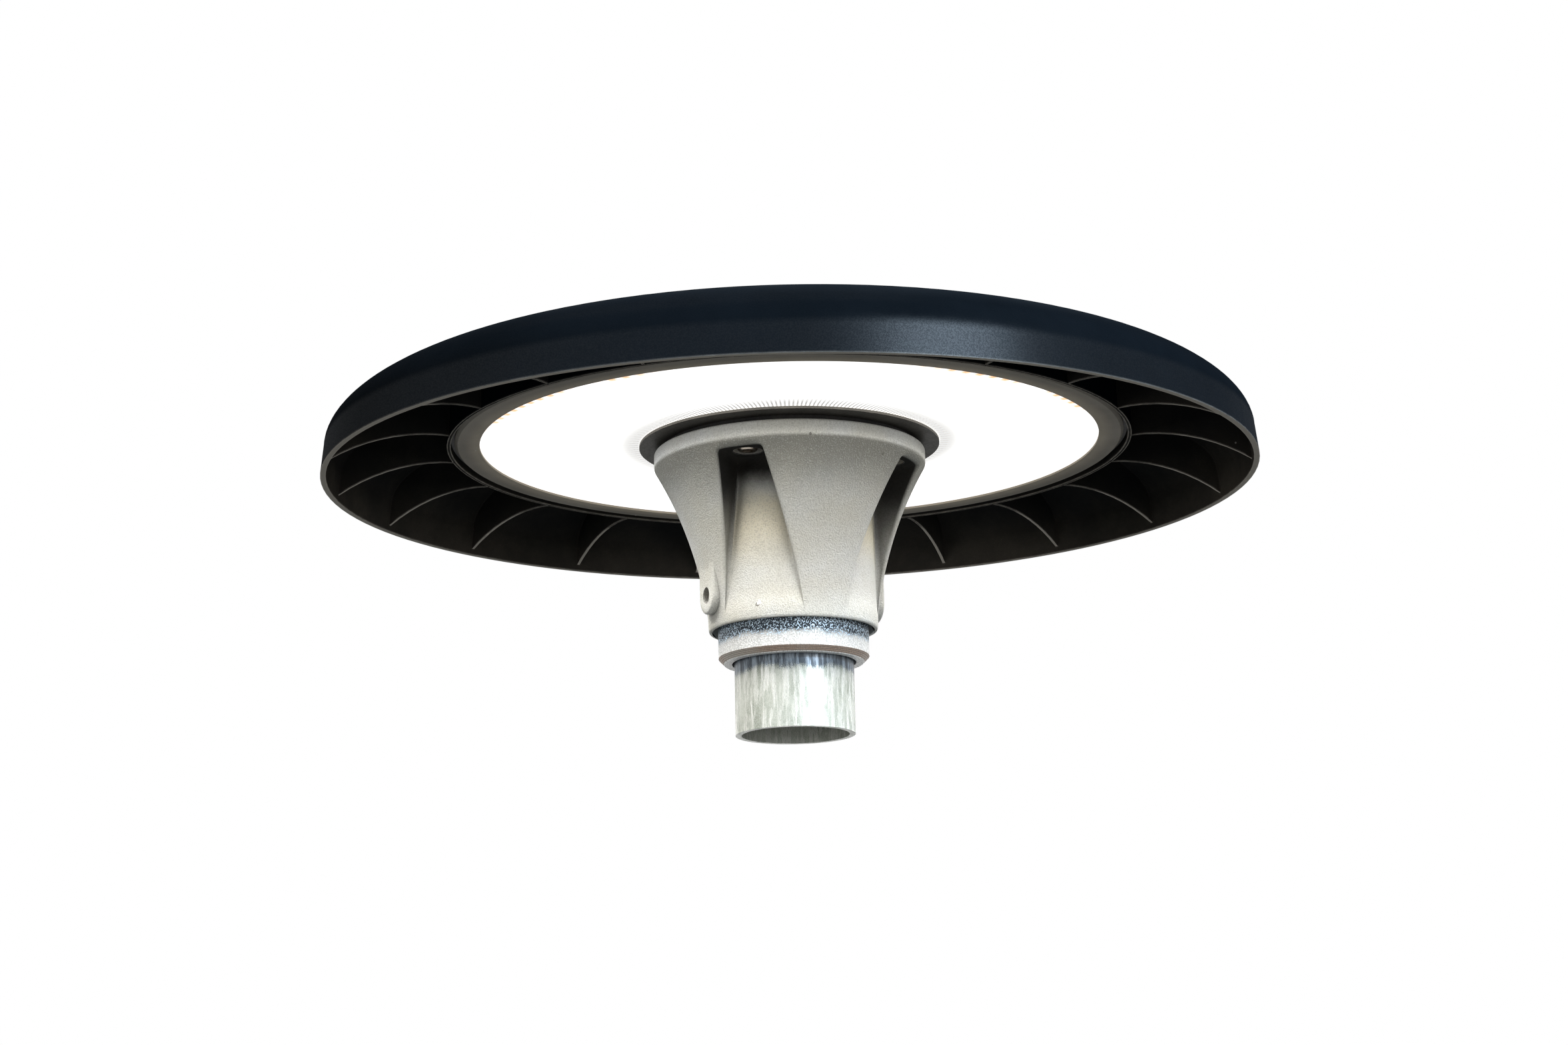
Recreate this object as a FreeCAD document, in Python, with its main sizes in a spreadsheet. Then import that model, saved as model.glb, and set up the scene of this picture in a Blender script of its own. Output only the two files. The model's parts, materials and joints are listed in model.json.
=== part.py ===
"""Post-top LED park light, in millimetres, driven by one sheet of dimensions.

The origin is the centre of the pole stub's cut end, +Z points up and -Y is the front.
Heights stack up from there: pole, sleeve, neck, gasket, centre plate, optic and canopy.
"""
import os

import FreeCAD
import Part
import Sketcher

Vector = FreeCAD.Vector

# Driving dimensions: alias, value and meaning
DIMENSIONS = (
    ("pole_diameter", "60.3", "outside of the steel post"),
    ("pole_wall", "3", "wall of the post"),
    ("pole_show", "36.3", "post seen below the sleeve"),
    ("sleeve_diameter", "76.1", "outside of the reducing sleeve"),
    ("sleeve_show", "16.2", "sleeve seen below the neck"),
    ("sleeve_play", "1.2", "gap between the post and the sleeve"),
    ("sleeve_chamfer", "2.85", "bevel at the sleeve's lower end"),
    ("stop_thickness", "4", "ledge in the sleeve that rests on the post"),
    ("stop_width", "6", "how far the ledge reaches inward"),
    ("neck_height", "93.5", "neck from its mouth to its flange's top"),
    ("collar_diameter", "85.3", "outside of the neck's lower end"),
    ("mouth_diameter", "81.5", "socket's lower end"),
    ("socket_depth", "70", "socket from its mouth to its stop"),
    ("socket_play", "0.25", "gap between the sleeve and the socket's upper end"),
    ("web_thickness", "6", "web above the socket"),
    ("web_hole_diameter", "52", "cable way through the web"),
    ("well_diameter", "80", "hollow above the web"),
    ("flange_diameter", "138.8", "neck's round flange"),
    ("flange_thickness", "11.4", "flange above the hollows"),
    ("flange_band", "9", "flange's edge above the flare"),
    ("flange_edge", "1.5", "bevel of the flange's upper edge"),
    ("band_inset", "0.54", "how far the flare starts inside the flange's edge"),
    ("band_blend", "2", "height of the soft corner under the band"),
    ("band_round", "4", "radius of that corner"),
    ("flare_radius", "199", "hollow curve of the neck's side"),
    ("hollow_count", "4", "screw hollows round the neck"),
    ("hollow_top_width", "23.8", "width of a hollow at its ceiling"),
    ("hollow_bottom_width", "43.6", "width of a hollow at the neck's lower end"),
    ("core_diameter", "82.4", "back of the hollows at their ceiling"),
    ("land_wall", "5", "wall round the cavity in a land"),
    ("land_cavity_depth", "39.5", "cavity below the flange's band"),
    ("land_cavity_foot", "1.5", "width of the cavity's floor"),
    ("land_cavity_angle", "42", "cavity round the axis, in degrees"),
    ("boss_width", "19", "set-screw boss"),
    ("boss_reach", "47", "boss face from the axis"),
    ("boss_height", "16.1", "set screw above the neck's lower end"),
    ("boss_run", "21", "boss above the set screw"),
    ("boss_turn", "45", "bosses from the front, in degrees"),
    ("set_screw_diameter", "8.6", "set screw and its thread"),
    ("set_screw_length", "6", "set screw"),
    ("set_screw_key", "4", "its hexagon socket"),
    ("screw_circle", "108.6", "circle of the neck screws"),
    ("screw_diameter", "8", "neck screw"),
    ("screw_head_diameter", "14", "its button head"),
    ("screw_head_height", "4.4", "height of that head"),
    ("screw_key", "5", "its hexagon socket"),
    ("screw_engagement", "14", "neck screw's thread in the canopy"),
    ("screw_play", "0.4", "gap round a neck screw"),
    ("head_recess", "4.4", "depth of the head's seat"),
    ("gasket_thickness", "2.8", "gasket on the flange"),
    ("gasket_inset", "5", "gasket's edge inside the flange's edge"),
    ("gasket_width", "19", "width of that gasket"),
    ("plate_diameter", "153.7", "centre plate"),
    ("plate_thickness", "1.2", "centre plate"),
    ("seal_thickness", "0.4", "flat seals under the light guide"),
    ("seal_width", "5", "width of those seals"),
    ("guide_thickness", "5", "light guide"),
    ("guide_bore", "140", "hole in the light guide"),
    ("reflector_thickness", "1", "white sheet on the light guide"),
    ("back_thickness", "2", "back plate"),
    ("back_bore", "60", "hole in the back plate"),
    ("bezel_opening", "316", "inside of the bezel"),
    ("bezel_diameter", "341.2", "outside of the bezel"),
    ("bezel_lip", "1", "thickness of the bezel's lip"),
    ("bezel_wall", "3.6", "bezel's upright wall"),
    ("bezel_bevel", "1.5", "bevel of the bezel's outer edge"),
    ("bezel_screw_count", "10", "screws through the back plate"),
    ("bezel_screw_diameter", "2.5", "bezel screw"),
    ("bezel_screw_depth", "4", "its thread in the bezel"),
    ("bezel_screw_head", "4.6", "its head"),
    ("led_count", "120", "light sources round the guide"),
    ("led_width", "2.8", "one light source along the board"),
    ("led_height", "3", "its height"),
    ("led_depth", "1.2", "how far it stands off the board"),
    ("led_gap", "0.4", "gap between light source and guide"),
    ("board_thickness", "1.2", "circuit board ring"),
    ("seal_recess", "3", "outer seal above the bezel's face"),
    ("outer_seal_height", "4", "outer seal"),
    ("ring_gap", "2", "gap between the bezel and the canopy's ring"),
    ("ring_wall", "1.9", "canopy's inner ring"),
    ("ring_drop", "1", "ring's lip below the bezel's face"),
    ("rim_drop", "18", "canopy's rim below the ring's lip"),
    ("rim_diameter", "475", "canopy's rim"),
    ("canopy_wall", "2.8", "canopy's shell"),
    ("wall_draft", "1.6", "skirt's lean over its height"),
    ("wall_height", "14.3", "skirt below the shoulder"),
    ("shoulder_width", "92.9", "half width of the shoulder's ellipse"),
    ("shoulder_height", "36", "half height of the shoulder's ellipse"),
    ("rib_count", "20", "ribs inside the canopy"),
    ("rib_thickness", "1.6", "rib at the skirt"),
    ("rib_radius", "94", "arch of a rib's lower edge"),
    ("rib_foot", "3.3", "rib's outer end above the rim"),
    ("hub_diameter", "20", "screw boss under the dome"),
    ("hub_spigot", "16", "boss's end through the back plate"),
    ("hub_play", "0.3", "gap round that end"),
    ("thread_depth", "20", "tapped hole in the boss"),
    ("driver_length", "108", "driver's case"),
    ("driver_width", "52", "driver's case"),
    ("driver_height", "16", "driver's case"),
    ("driver_place", "106", "driver's centre from the axis"),
    ("ear_length", "10", "driver's fixing ear"),
    ("ear_width", "22", "driver's fixing ear"),
    ("ear_thickness", "2.5", "driver's fixing ear"),
    ("small_screw_diameter", "4", "driver and terminal screws"),
    ("small_screw_head", "7", "their heads"),
    ("small_screw_rise", "2.4", "height of those heads"),
    ("terminal_length", "46", "terminal block"),
    ("terminal_width", "22", "terminal block"),
    ("terminal_height", "15", "terminal block"),
    ("terminal_place", "102", "terminal block's centre from the axis"),
    ("terminal_pitch", "12", "between its poles"),
    ("terminal_base", "3", "its fixing foot"),
    ("terminal_foot", "8", "length of that foot"),
    ("wire_hole", "5", "wire entry"),
    ("gland_diameter", "20", "gland's thread"),
    ("gland_hex", "24", "gland's hexagon"),
    ("gland_flange", "5", "height of that hexagon"),
    ("gland_tail", "9", "thread below the hexagon"),
    ("gland_bore", "12", "way through the gland"),
    ("cap_diameter", "26", "gland's cap"),
    ("cap_height", "15", "gland's cap"),
    ("cap_bevel", "3", "bevel of that cap"),
    ("nut_hex", "26", "gland's locknut"),
    ("nut_thickness", "4", "gland's locknut"),
    ("thread_end", "2", "gland's thread past the locknut"),
    ("cable_diameter", "8", "hole in the gland's seal"),
)

doc = FreeCAD.newDocument("park_light")
sheet = doc.addObject("Spreadsheet::Sheet", "dims")
for row, (alias, number, meaning) in enumerate(DIMENSIONS, start=1):
    sheet.set("A%d" % row, meaning)
    sheet.set("B%d" % row, number)
    sheet.setAlias("B%d" % row, alias)
doc.recompute()

# Heights, from the pole's cut end
Z_SLEEVE = "dims.pole_show"
Z_MOUTH = "(%s + dims.sleeve_show)" % Z_SLEEVE
Z_STOP = "(%s + dims.socket_depth)" % Z_MOUTH
Z_POLE_TOP = "(%s - dims.stop_thickness)" % Z_STOP
Z_SET_SCREW = "(%s + dims.boss_height)" % Z_MOUTH
Z_FLANGE = "(%s + dims.neck_height)" % Z_MOUTH
Z_BAND = "(%s - dims.flange_band)" % Z_FLANGE
Z_CEILING = "(%s - dims.flange_thickness)" % Z_FLANGE
Z_SEAT = "(%s + dims.head_recess)" % Z_CEILING
Z_PLATE = "(%s + dims.gasket_thickness)" % Z_FLANGE
Z_PLATE_TOP = "(%s + dims.plate_thickness)" % Z_PLATE
Z_GUIDE = "(%s + dims.seal_thickness)" % Z_PLATE_TOP
Z_REFLECTOR = "(%s + dims.guide_thickness)" % Z_GUIDE
Z_BACK = "(%s + dims.reflector_thickness)" % Z_REFLECTOR
Z_BACK_TOP = "(%s + dims.back_thickness)" % Z_BACK
Z_BEZEL = "(%s - dims.bezel_lip)" % Z_PLATE_TOP
Z_LIP = "(%s - dims.ring_drop)" % Z_BEZEL
Z_RIM = "(%s - dims.rim_drop)" % Z_LIP
Z_WALL = "(%s + dims.wall_height)" % Z_RIM

# Radii
POLE = "dims.pole_diameter / 2"
SLEEVE = "dims.sleeve_diameter / 2"
SLEEVE_BORE = "(dims.pole_diameter / 2 + dims.sleeve_play)"
COLLAR = "dims.collar_diameter / 2"
FLANGE = "dims.flange_diameter / 2"
WELL = "dims.well_diameter / 2"
SCREW_PLACE = "dims.screw_circle / 2"
SCREW_HOLE = "(dims.screw_diameter / 2 + dims.screw_play)"
PLATE = "dims.plate_diameter / 2"
BEZEL = "dims.bezel_diameter / 2"
BEZEL_INSIDE = "(%s - dims.bezel_wall)" % BEZEL
BEZEL_SCREW_PLACE = "(%s - dims.bezel_wall / 2)" % BEZEL
BOARD = "(%s - dims.board_thickness)" % BEZEL_INSIDE
LED_FACE = "(%s - dims.led_depth)" % BOARD
GUIDE = "(%s - dims.led_gap)" % LED_FACE
RING_INSIDE = "(%s + dims.ring_gap)" % BEZEL
RING = "(%s + dims.ring_wall)" % RING_INSIDE
RIM = "dims.rim_diameter / 2"
RIM_INSIDE = "(%s - dims.canopy_wall)" % RIM
SHOULDER = "(%s - dims.wall_draft)" % RIM
SHOULDER_CENTRE = "(%s - dims.shoulder_width)" % SHOULDER

# The dome carries on from the shoulder's ellipse, above the inner ring, at the same slope
CROWN_COSINE = "((%s - %s) / dims.shoulder_width)" % (RING, SHOULDER_CENTRE)
CROWN_SINE = "sqrt(1 - %s ^ 2)" % CROWN_COSINE
CROWN_SLOPE = "atan(dims.shoulder_height * %s / (dims.shoulder_width * %s))" % (
    CROWN_COSINE, CROWN_SINE)
Z_CROWN = "(%s + dims.shoulder_height * %s)" % (Z_WALL, CROWN_SINE)
DOME = "(%s / sin(%s))" % (RING, CROWN_SLOPE)
Z_DOME_CENTRE = "(%s - %s * cos(%s))" % (Z_CROWN, DOME, CROWN_SLOPE)
DOME_INSIDE = "(%s - dims.canopy_wall)" % DOME


def value(expression):
    """Work out an expression as a plain number."""
    result = sheet.evalExpression(expression)
    return float(getattr(result, "Value", result))


def new_body(label):
    body = doc.addObject("PartDesign::Body", label)
    body.Label = label
    return body


def origin_item(body, role):
    return next(item for item in body.Origin.OriginFeatures if item.Role == role)


def new_sketch(body, name, role="XZ_Plane", height=None, turn=0.0):
    """Start a sketch on an origin plane, lifted to a height or turned about the lamp's axis."""
    sketch = body.newObject("Sketcher::SketchObject", "%s_%s" % (body.Label, name))
    sketch.AttachmentSupport = [(origin_item(body, role), "")]
    sketch.MapMode = "FlatFace"
    if turn:
        sketch.AttachmentOffset = FreeCAD.Placement(Vector(), FreeCAD.Rotation(Vector(0, 1, 0), turn))
    if height:
        sketch.setExpression("AttachmentOffset.Base.z", height)
    return sketch


def bind(sketch, constraint, expression):
    """Add a dimension to a sketch and tie it to an expression."""
    index = sketch.addConstraint(constraint)
    name = "size_%d" % index
    sketch.renameConstraint(index, name)
    sketch.setExpression("Constraints." + name, expression)


def pin(sketch, geometry, point, across, up=None):
    """Fix a sketch point at one or two distances from the origin."""
    bind(sketch, Sketcher.Constraint("DistanceX", -1, 1, geometry, point, value(across)), across)
    if up is not None:
        bind(sketch, Sketcher.Constraint("DistanceY", -1, 1, geometry, point, value(up)), up)


def arc_between(start, end, radius, turn):
    """Return the short arc from start to end that turns left or right on its way."""
    chord = end - start
    half = chord.Length / 2
    side = Vector(-chord.y, chord.x, 0).normalize()
    if turn == "right":
        side = side.negative()
    centre = start + chord * 0.5 + side * (radius ** 2 - half ** 2) ** 0.5
    first, last = (start, end) if turn == "left" else (end, start)
    circle = Part.Circle(centre, Vector(0, 0, 1), radius)
    return Part.ArcOfCircle(circle, circle.parameter(first), circle.parameter(last))


def outline(sketch, corners, arcs=None, ellipses=None, loose=()):
    """Close an outline through corners, each a pair of expressions.

    An edge is named by the number of the corner that it leaves. arcs gives an edge a radius and
    the way it turns, ellipses gives one a centre and two half axes, and a loose corner is held
    across only, because its edge sets its height.
    """
    arcs = arcs or {}
    ellipses = ellipses or {}
    points = [Vector(value(across), value(up), 0) for across, up in corners]
    ends = []
    for number, start in enumerate(points):
        end = points[(number + 1) % len(points)]
        if number in arcs:
            radius, turn = arcs[number]
            geometry = sketch.addGeometry(arc_between(start, end, value(radius), turn), False)
            bind(sketch, Sketcher.Constraint("Radius", geometry, value(radius)), radius)
            ends.append((geometry, 1, 2) if turn == "left" else (geometry, 2, 1))
        elif number in ellipses:
            geometry = add_ellipse(sketch, start, end, *ellipses[number])
            ends.append((geometry, 1, 2))
        else:
            geometry = sketch.addGeometry(Part.LineSegment(start, end), False)
            ends.append((geometry, 1, 2))
    for number, (geometry, first, last) in enumerate(ends):
        following, following_first, _ = ends[(number + 1) % len(ends)]
        sketch.addConstraint(Sketcher.Constraint("Coincident", geometry, last, following, following_first))
        across, up = corners[number]
        pin(sketch, geometry, first, across, None if number in loose else up)


def add_ellipse(sketch, start, end, across, up, half_width, half_height):
    """Add an arc of a level ellipse that starts at its right-hand end."""
    centre = Vector(value(across), value(up), 0)
    tip = centre + Vector(value(half_width), 0, 0)
    ellipse = Part.Ellipse(tip, centre + Vector(0, value(half_height), 0), centre)
    arc = Part.ArcOfEllipse(ellipse, ellipse.parameter(start), ellipse.parameter(end))
    geometry = sketch.addGeometry(arc, False)
    sketch.exposeInternalGeometry(geometry)
    long_axis, short_axis = geometry + 1, geometry + 2
    sketch.addConstraint(Sketcher.Constraint("Horizontal", long_axis))
    pin(sketch, geometry, 3, across, up)
    height = "2 * (%s)" % half_height
    bind(sketch, Sketcher.Constraint("DistanceY", short_axis, 2, short_axis, 1, value(height)), height)
    return geometry


def circles(sketch, radius, places=(("0", "0"),)):
    """Add circles of one radius at pairs of expressions."""
    for across, up in places:
        centre = Vector(value(across), value(up), 0)
        circle = sketch.addGeometry(Part.Circle(centre, Vector(0, 0, 1), value(radius)), False)
        bind(sketch, Sketcher.Constraint("Radius", circle, value(radius)), radius)
        pin(sketch, circle, 3, across, up)


def hexagon(sketch, flats, across="0", up="0"):
    """Add a hexagon by its width across flats, with two corners level with its centre."""
    reach = "(%s) / sqrt(3)" % flats
    corners = [("%s + %s * cos(%d)" % (across, reach, angle), "%s + %s * sin(%d)" % (up, reach, angle))
               for angle in range(0, 360, 60)]
    outline(sketch, corners)


def rectangle(sketch, left, right, bottom, top):
    outline(sketch, [(left, bottom), (right, bottom), (right, top), (left, top)])


def revolve(body, sketch, cut=False, axis="V_Axis"):
    """Turn a sketch about an axis of its own, adding or cutting."""
    kind = "Groove" if cut else "Revolution"
    feature = body.newObject("PartDesign::" + kind, sketch.Name + "_turn")
    feature.Profile = sketch
    feature.ReferenceAxis = (sketch, [axis])
    feature.Angle = 360
    sketch.Visibility = False
    body.Tip = feature
    return feature


def pad(body, sketch, length, symmetric=False, down=False):
    """Push a sketch out along its normal, or both ways or backwards."""
    feature = body.newObject("PartDesign::Pad", sketch.Name + "_pad")
    feature.Profile = sketch
    feature.setExpression("Length", length)
    feature.Midplane = symmetric
    feature.Reversed = down
    body.Tip = feature
    return feature


def pocket(body, sketch, length=None, up=False):
    """Cut a sketch downwards or upwards by a length, or right through both ways without one."""
    feature = body.newObject("PartDesign::Pocket", sketch.Name + "_cut")
    feature.Profile = sketch
    if length is None:
        feature.Type = "ThroughAll"
        feature.Midplane = True
    else:
        feature.setExpression("Length", length)
        feature.Reversed = up
    body.Tip = feature
    return feature


def around(body, originals, count):
    """Repeat features evenly about the lamp's axis."""
    feature = body.newObject("PartDesign::PolarPattern", originals[0].Name + "_around")
    feature.Originals = originals
    feature.Axis = (origin_item(body, "Z_Axis"), [""])
    feature.Angle = 360
    feature.setExpression("Occurrences", count)
    body.Tip = feature
    return feature


def ring(label, outside, inside, base, height):
    """Make a flat ring from its two radii, its lower face and its height."""
    body = new_body(label)
    sketch = new_sketch(body, "ring", "XY_Plane", base)
    circles(sketch, outside)
    circles(sketch, inside)
    pad(body, sketch, height)
    return body


def holes(body, name, radius, across, base, count, depth=None, up=False):
    """Cut a circle of holes through a body, or to a depth from a level."""
    sketch = new_sketch(body, name, "XY_Plane", base)
    circles(sketch, radius, [(across, "0")])
    doc.recompute()
    return around(body, [pocket(body, sketch, depth, up)], count)


def make_pole():
    return ring("pole", POLE, "%s - dims.pole_wall" % POLE, "0", Z_POLE_TOP)


def make_sleeve():
    body = new_body("spigot_sleeve")
    sketch = new_sketch(body, "section")
    ledge = "%s - dims.stop_width" % SLEEVE_BORE
    outline(sketch, [
        (SLEEVE_BORE, Z_SLEEVE),
        ("%s - dims.sleeve_chamfer" % SLEEVE, Z_SLEEVE),
        (SLEEVE, "%s + dims.sleeve_chamfer" % Z_SLEEVE),
        (SLEEVE, Z_STOP),
        (ledge, Z_STOP),
        (ledge, Z_POLE_TOP),
        (SLEEVE_BORE, Z_POLE_TOP),
    ])
    revolve(body, sketch)
    return body


def make_neck():
    """Cast neck: a flared solid, hollowed between four lands, with a core, bosses and a socket."""
    body = new_body("neck")
    flare = new_sketch(body, "flare")
    outline(flare, [
        ("0", Z_MOUTH),
        (COLLAR, Z_MOUTH),
        ("%s - dims.band_inset" % FLANGE, Z_BAND),
        (FLANGE, "%s + dims.band_blend" % Z_BAND),
        (FLANGE, "%s - dims.flange_edge" % Z_FLANGE),
        ("%s - dims.flange_edge" % FLANGE, Z_FLANGE),
        ("0", Z_FLANGE),
    ], arcs={1: ("dims.flare_radius", "right"), 2: ("dims.band_round", "left")})
    revolve(body, flare)
    cut_hollows(body)
    add_bosses(body)
    cut_socket(body)
    cut_screw_seats(body)
    return body


def cut_hollows(body):
    """Four hollows that widen downwards, with the core between them."""
    hollow = new_sketch(body, "hollow")
    outline(hollow, [
        ("-dims.hollow_bottom_width / 2", Z_MOUTH),
        ("dims.hollow_bottom_width / 2", Z_MOUTH),
        ("dims.hollow_top_width / 2", Z_CEILING),
        ("-dims.hollow_top_width / 2", Z_CEILING),
    ])
    doc.recompute()
    around(body, [pocket(body, hollow, FLANGE, up=True)], "dims.hollow_count")
    core = new_sketch(body, "core")
    core_top = "dims.core_diameter / 2"
    outline(core, [("0", Z_MOUTH), (COLLAR, Z_MOUTH), (core_top, Z_CEILING), ("0", Z_CEILING)])
    revolve(body, core)


def add_bosses(body):
    """Two bosses on opposite lands that run up into the flare."""
    boss = new_sketch(body, "boss", turn=-value("dims.boss_turn"))
    boss_top = "%s + dims.boss_run" % Z_SET_SCREW
    outline(boss, [
        ("-dims.boss_width / 2", Z_SET_SCREW),
        ("0", "%s - dims.boss_width / 2" % Z_SET_SCREW),
        ("dims.boss_width / 2", Z_SET_SCREW),
        ("dims.boss_width / 2", boss_top),
        ("-dims.boss_width / 2", boss_top),
    ], arcs={0: ("dims.boss_width / 2", "left"), 1: ("dims.boss_width / 2", "left")})
    pad(body, boss, "2 * dims.boss_reach", symmetric=True)


def cut_socket(body):
    """Socket for the sleeve, cable way, upper well and the cavities in the lands."""
    socket = new_sketch(body, "socket")
    web_top = "%s + dims.web_thickness" % Z_STOP
    outline(socket, [
        ("0", Z_MOUTH),
        ("dims.mouth_diameter / 2", Z_MOUTH),
        ("%s + dims.socket_play" % SLEEVE, Z_STOP),
        ("dims.web_hole_diameter / 2", Z_STOP),
        ("dims.web_hole_diameter / 2", web_top),
        (WELL, web_top),
        (WELL, Z_FLANGE),
        ("0", Z_FLANGE),
    ])
    revolve(body, socket, cut=True)
    cavity = new_sketch(body, "cavity", turn=180.0 / value("dims.hollow_count"))
    inside = "(%s + dims.land_wall)" % WELL
    outside = "%s - dims.band_inset - dims.land_wall" % FLANGE
    floor = "%s - dims.land_cavity_depth" % Z_BAND
    outline(cavity, [
        (inside, floor),
        ("%s + dims.land_cavity_foot" % inside, floor),
        (outside, Z_BAND),
        (outside, Z_FLANGE),
        (inside, Z_FLANGE),
    ])
    doc.recompute()
    cavity_cut = revolve(body, cavity, cut=True)
    cavity_cut.Midplane = True
    cavity_cut.setExpression("Angle", "dims.land_cavity_angle")
    doc.recompute()
    around(body, [cavity_cut], "dims.hollow_count")


def cut_screw_seats(body):
    """Threads for the set screws, and seats and holes for the neck screws."""
    thread = new_sketch(body, "thread", turn=-value("dims.boss_turn"))
    circles(thread, "dims.set_screw_diameter / 2", [("0", Z_SET_SCREW)])
    doc.recompute()
    pocket(body, thread)
    head = "dims.screw_head_diameter / 2 + dims.screw_play"
    holes(body, "head_seats", head, SCREW_PLACE, Z_CEILING, "dims.hollow_count", "dims.head_recess", up=True)
    holes(body, "screw_holes", SCREW_HOLE, SCREW_PLACE, Z_CEILING, "dims.hollow_count",
          "dims.flange_thickness", up=True)


def make_set_screws():
    body = new_body("set_screws")
    shank = new_sketch(body, "shank", turn=-value("dims.boss_turn"))
    shank.setExpression("AttachmentOffset.Base.x", "-(%s) * sin(dims.boss_turn)" % SLEEVE)
    shank.setExpression("AttachmentOffset.Base.z", "%s * cos(dims.boss_turn)" % SLEEVE)
    circles(shank, "dims.set_screw_diameter / 2", [("0", Z_SET_SCREW)])
    shank_pad = pad(body, shank, "dims.set_screw_length")
    key = new_sketch(body, "key", turn=-value("dims.boss_turn"))
    face = "(%s + dims.set_screw_length)" % SLEEVE
    key.setExpression("AttachmentOffset.Base.x", "-%s * sin(dims.boss_turn)" % face)
    key.setExpression("AttachmentOffset.Base.z", "%s * cos(dims.boss_turn)" % face)
    hexagon(key, "dims.set_screw_key", up=Z_SET_SCREW)
    doc.recompute()
    key_cut = pocket(body, key, "dims.set_screw_length / 2")
    doc.recompute()
    around(body, [shank_pad, key_cut], "2")
    return body


def make_neck_screws():
    """Button-head screws whose heads sit in the hollows and whose threads reach the canopy."""
    body = new_body("neck_screws")
    section = new_sketch(body, "section")
    head_face = "%s - dims.screw_head_height" % Z_SEAT
    face_edge = "%s + dims.screw_head_diameter * 0.3" % SCREW_PLACE
    head_edge = "%s + dims.screw_head_diameter / 2" % SCREW_PLACE
    shank_edge = "%s + dims.screw_diameter / 2" % SCREW_PLACE
    shank_end = "%s + dims.screw_engagement" % Z_PLATE_TOP
    outline(section, [
        (SCREW_PLACE, head_face),
        (face_edge, head_face),
        (head_edge, Z_SEAT),
        (shank_edge, Z_SEAT),
        (shank_edge, shank_end),
        (SCREW_PLACE, shank_end),
    ], arcs={1: ("dims.screw_head_diameter / 2", "left")})
    line = Part.LineSegment(Vector(value(SCREW_PLACE), 0, 0), Vector(value(SCREW_PLACE), value(Z_SEAT), 0))
    axis = section.addGeometry(line, True)
    pin(section, axis, 1, SCREW_PLACE, "0")
    pin(section, axis, 2, SCREW_PLACE, Z_SEAT)
    screw = revolve(body, section, axis="Axis0")
    key = new_sketch(body, "key", "XY_Plane", head_face)
    hexagon(key, "dims.screw_key", across=SCREW_PLACE)
    doc.recompute()
    key_cut = pocket(body, key, "dims.screw_head_height * 0.6", up=True)
    doc.recompute()
    around(body, [screw, key_cut], "dims.hollow_count")
    return body


def make_neck_gasket():
    edge = "(%s - dims.gasket_inset)" % FLANGE
    body = ring("neck_gasket", edge, "%s - dims.gasket_width" % edge, Z_FLANGE, "dims.gasket_thickness")
    holes(body, "screw_holes", SCREW_HOLE, SCREW_PLACE, Z_FLANGE, "dims.hollow_count")
    return body


def make_centre_plate():
    body = ring("centre_plate", PLATE, "dims.gland_diameter / 2", Z_PLATE, "dims.plate_thickness")
    holes(body, "screw_holes", SCREW_HOLE, SCREW_PLACE, Z_PLATE, "dims.hollow_count")
    return body


def make_optic():
    """Light guide with its seals and the white sheet behind it."""
    bore = "dims.guide_bore / 2"
    return [
        ring("inner_seal", "(%s + dims.seal_width)" % bore, bore, Z_PLATE_TOP, "dims.seal_thickness"),
        ring("lens_seal", GUIDE, "%s - dims.seal_width" % GUIDE, Z_PLATE_TOP, "dims.seal_thickness"),
        ring("light_guide", GUIDE, bore, Z_GUIDE, "dims.guide_thickness"),
        ring("reflector", GUIDE, bore, Z_REFLECTOR, "dims.reflector_thickness"),
    ]


def make_back_plate():
    body = ring("back_plate", BEZEL, "dims.back_bore / 2", Z_BACK, "dims.back_thickness")
    holes(body, "hub_holes", "dims.hub_spigot / 2 + dims.hub_play", SCREW_PLACE, Z_BACK, "dims.hollow_count")
    holes(body, "bezel_holes", "dims.bezel_screw_diameter / 2", BEZEL_SCREW_PLACE, Z_BACK,
          "dims.bezel_screw_count")
    fixings = new_sketch(body, "fixing_holes", "XY_Plane", Z_BACK)
    circles(fixings, "dims.small_screw_diameter / 2", driver_fixings() + terminal_fixings())
    doc.recompute()
    pocket(body, fixings)
    return body


def make_bezel():
    """Angle-section ring that carries the light guide and, on its wall, the circuit board."""
    body = new_body("bezel")
    sketch = new_sketch(body, "section")
    opening = "dims.bezel_opening / 2"
    outline(sketch, [
        (opening, Z_BEZEL),
        ("%s - dims.bezel_bevel" % BEZEL, Z_BEZEL),
        (BEZEL, "%s + dims.bezel_bevel" % Z_BEZEL),
        (BEZEL, Z_BACK),
        (BEZEL_INSIDE, Z_BACK),
        (BEZEL_INSIDE, Z_PLATE_TOP),
        (opening, Z_PLATE_TOP),
    ])
    revolve(body, sketch)
    doc.recompute()
    holes(body, "threads", "dims.bezel_screw_diameter / 2", BEZEL_SCREW_PLACE, Z_BACK,
          "dims.bezel_screw_count", "dims.bezel_screw_depth")
    return body


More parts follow.
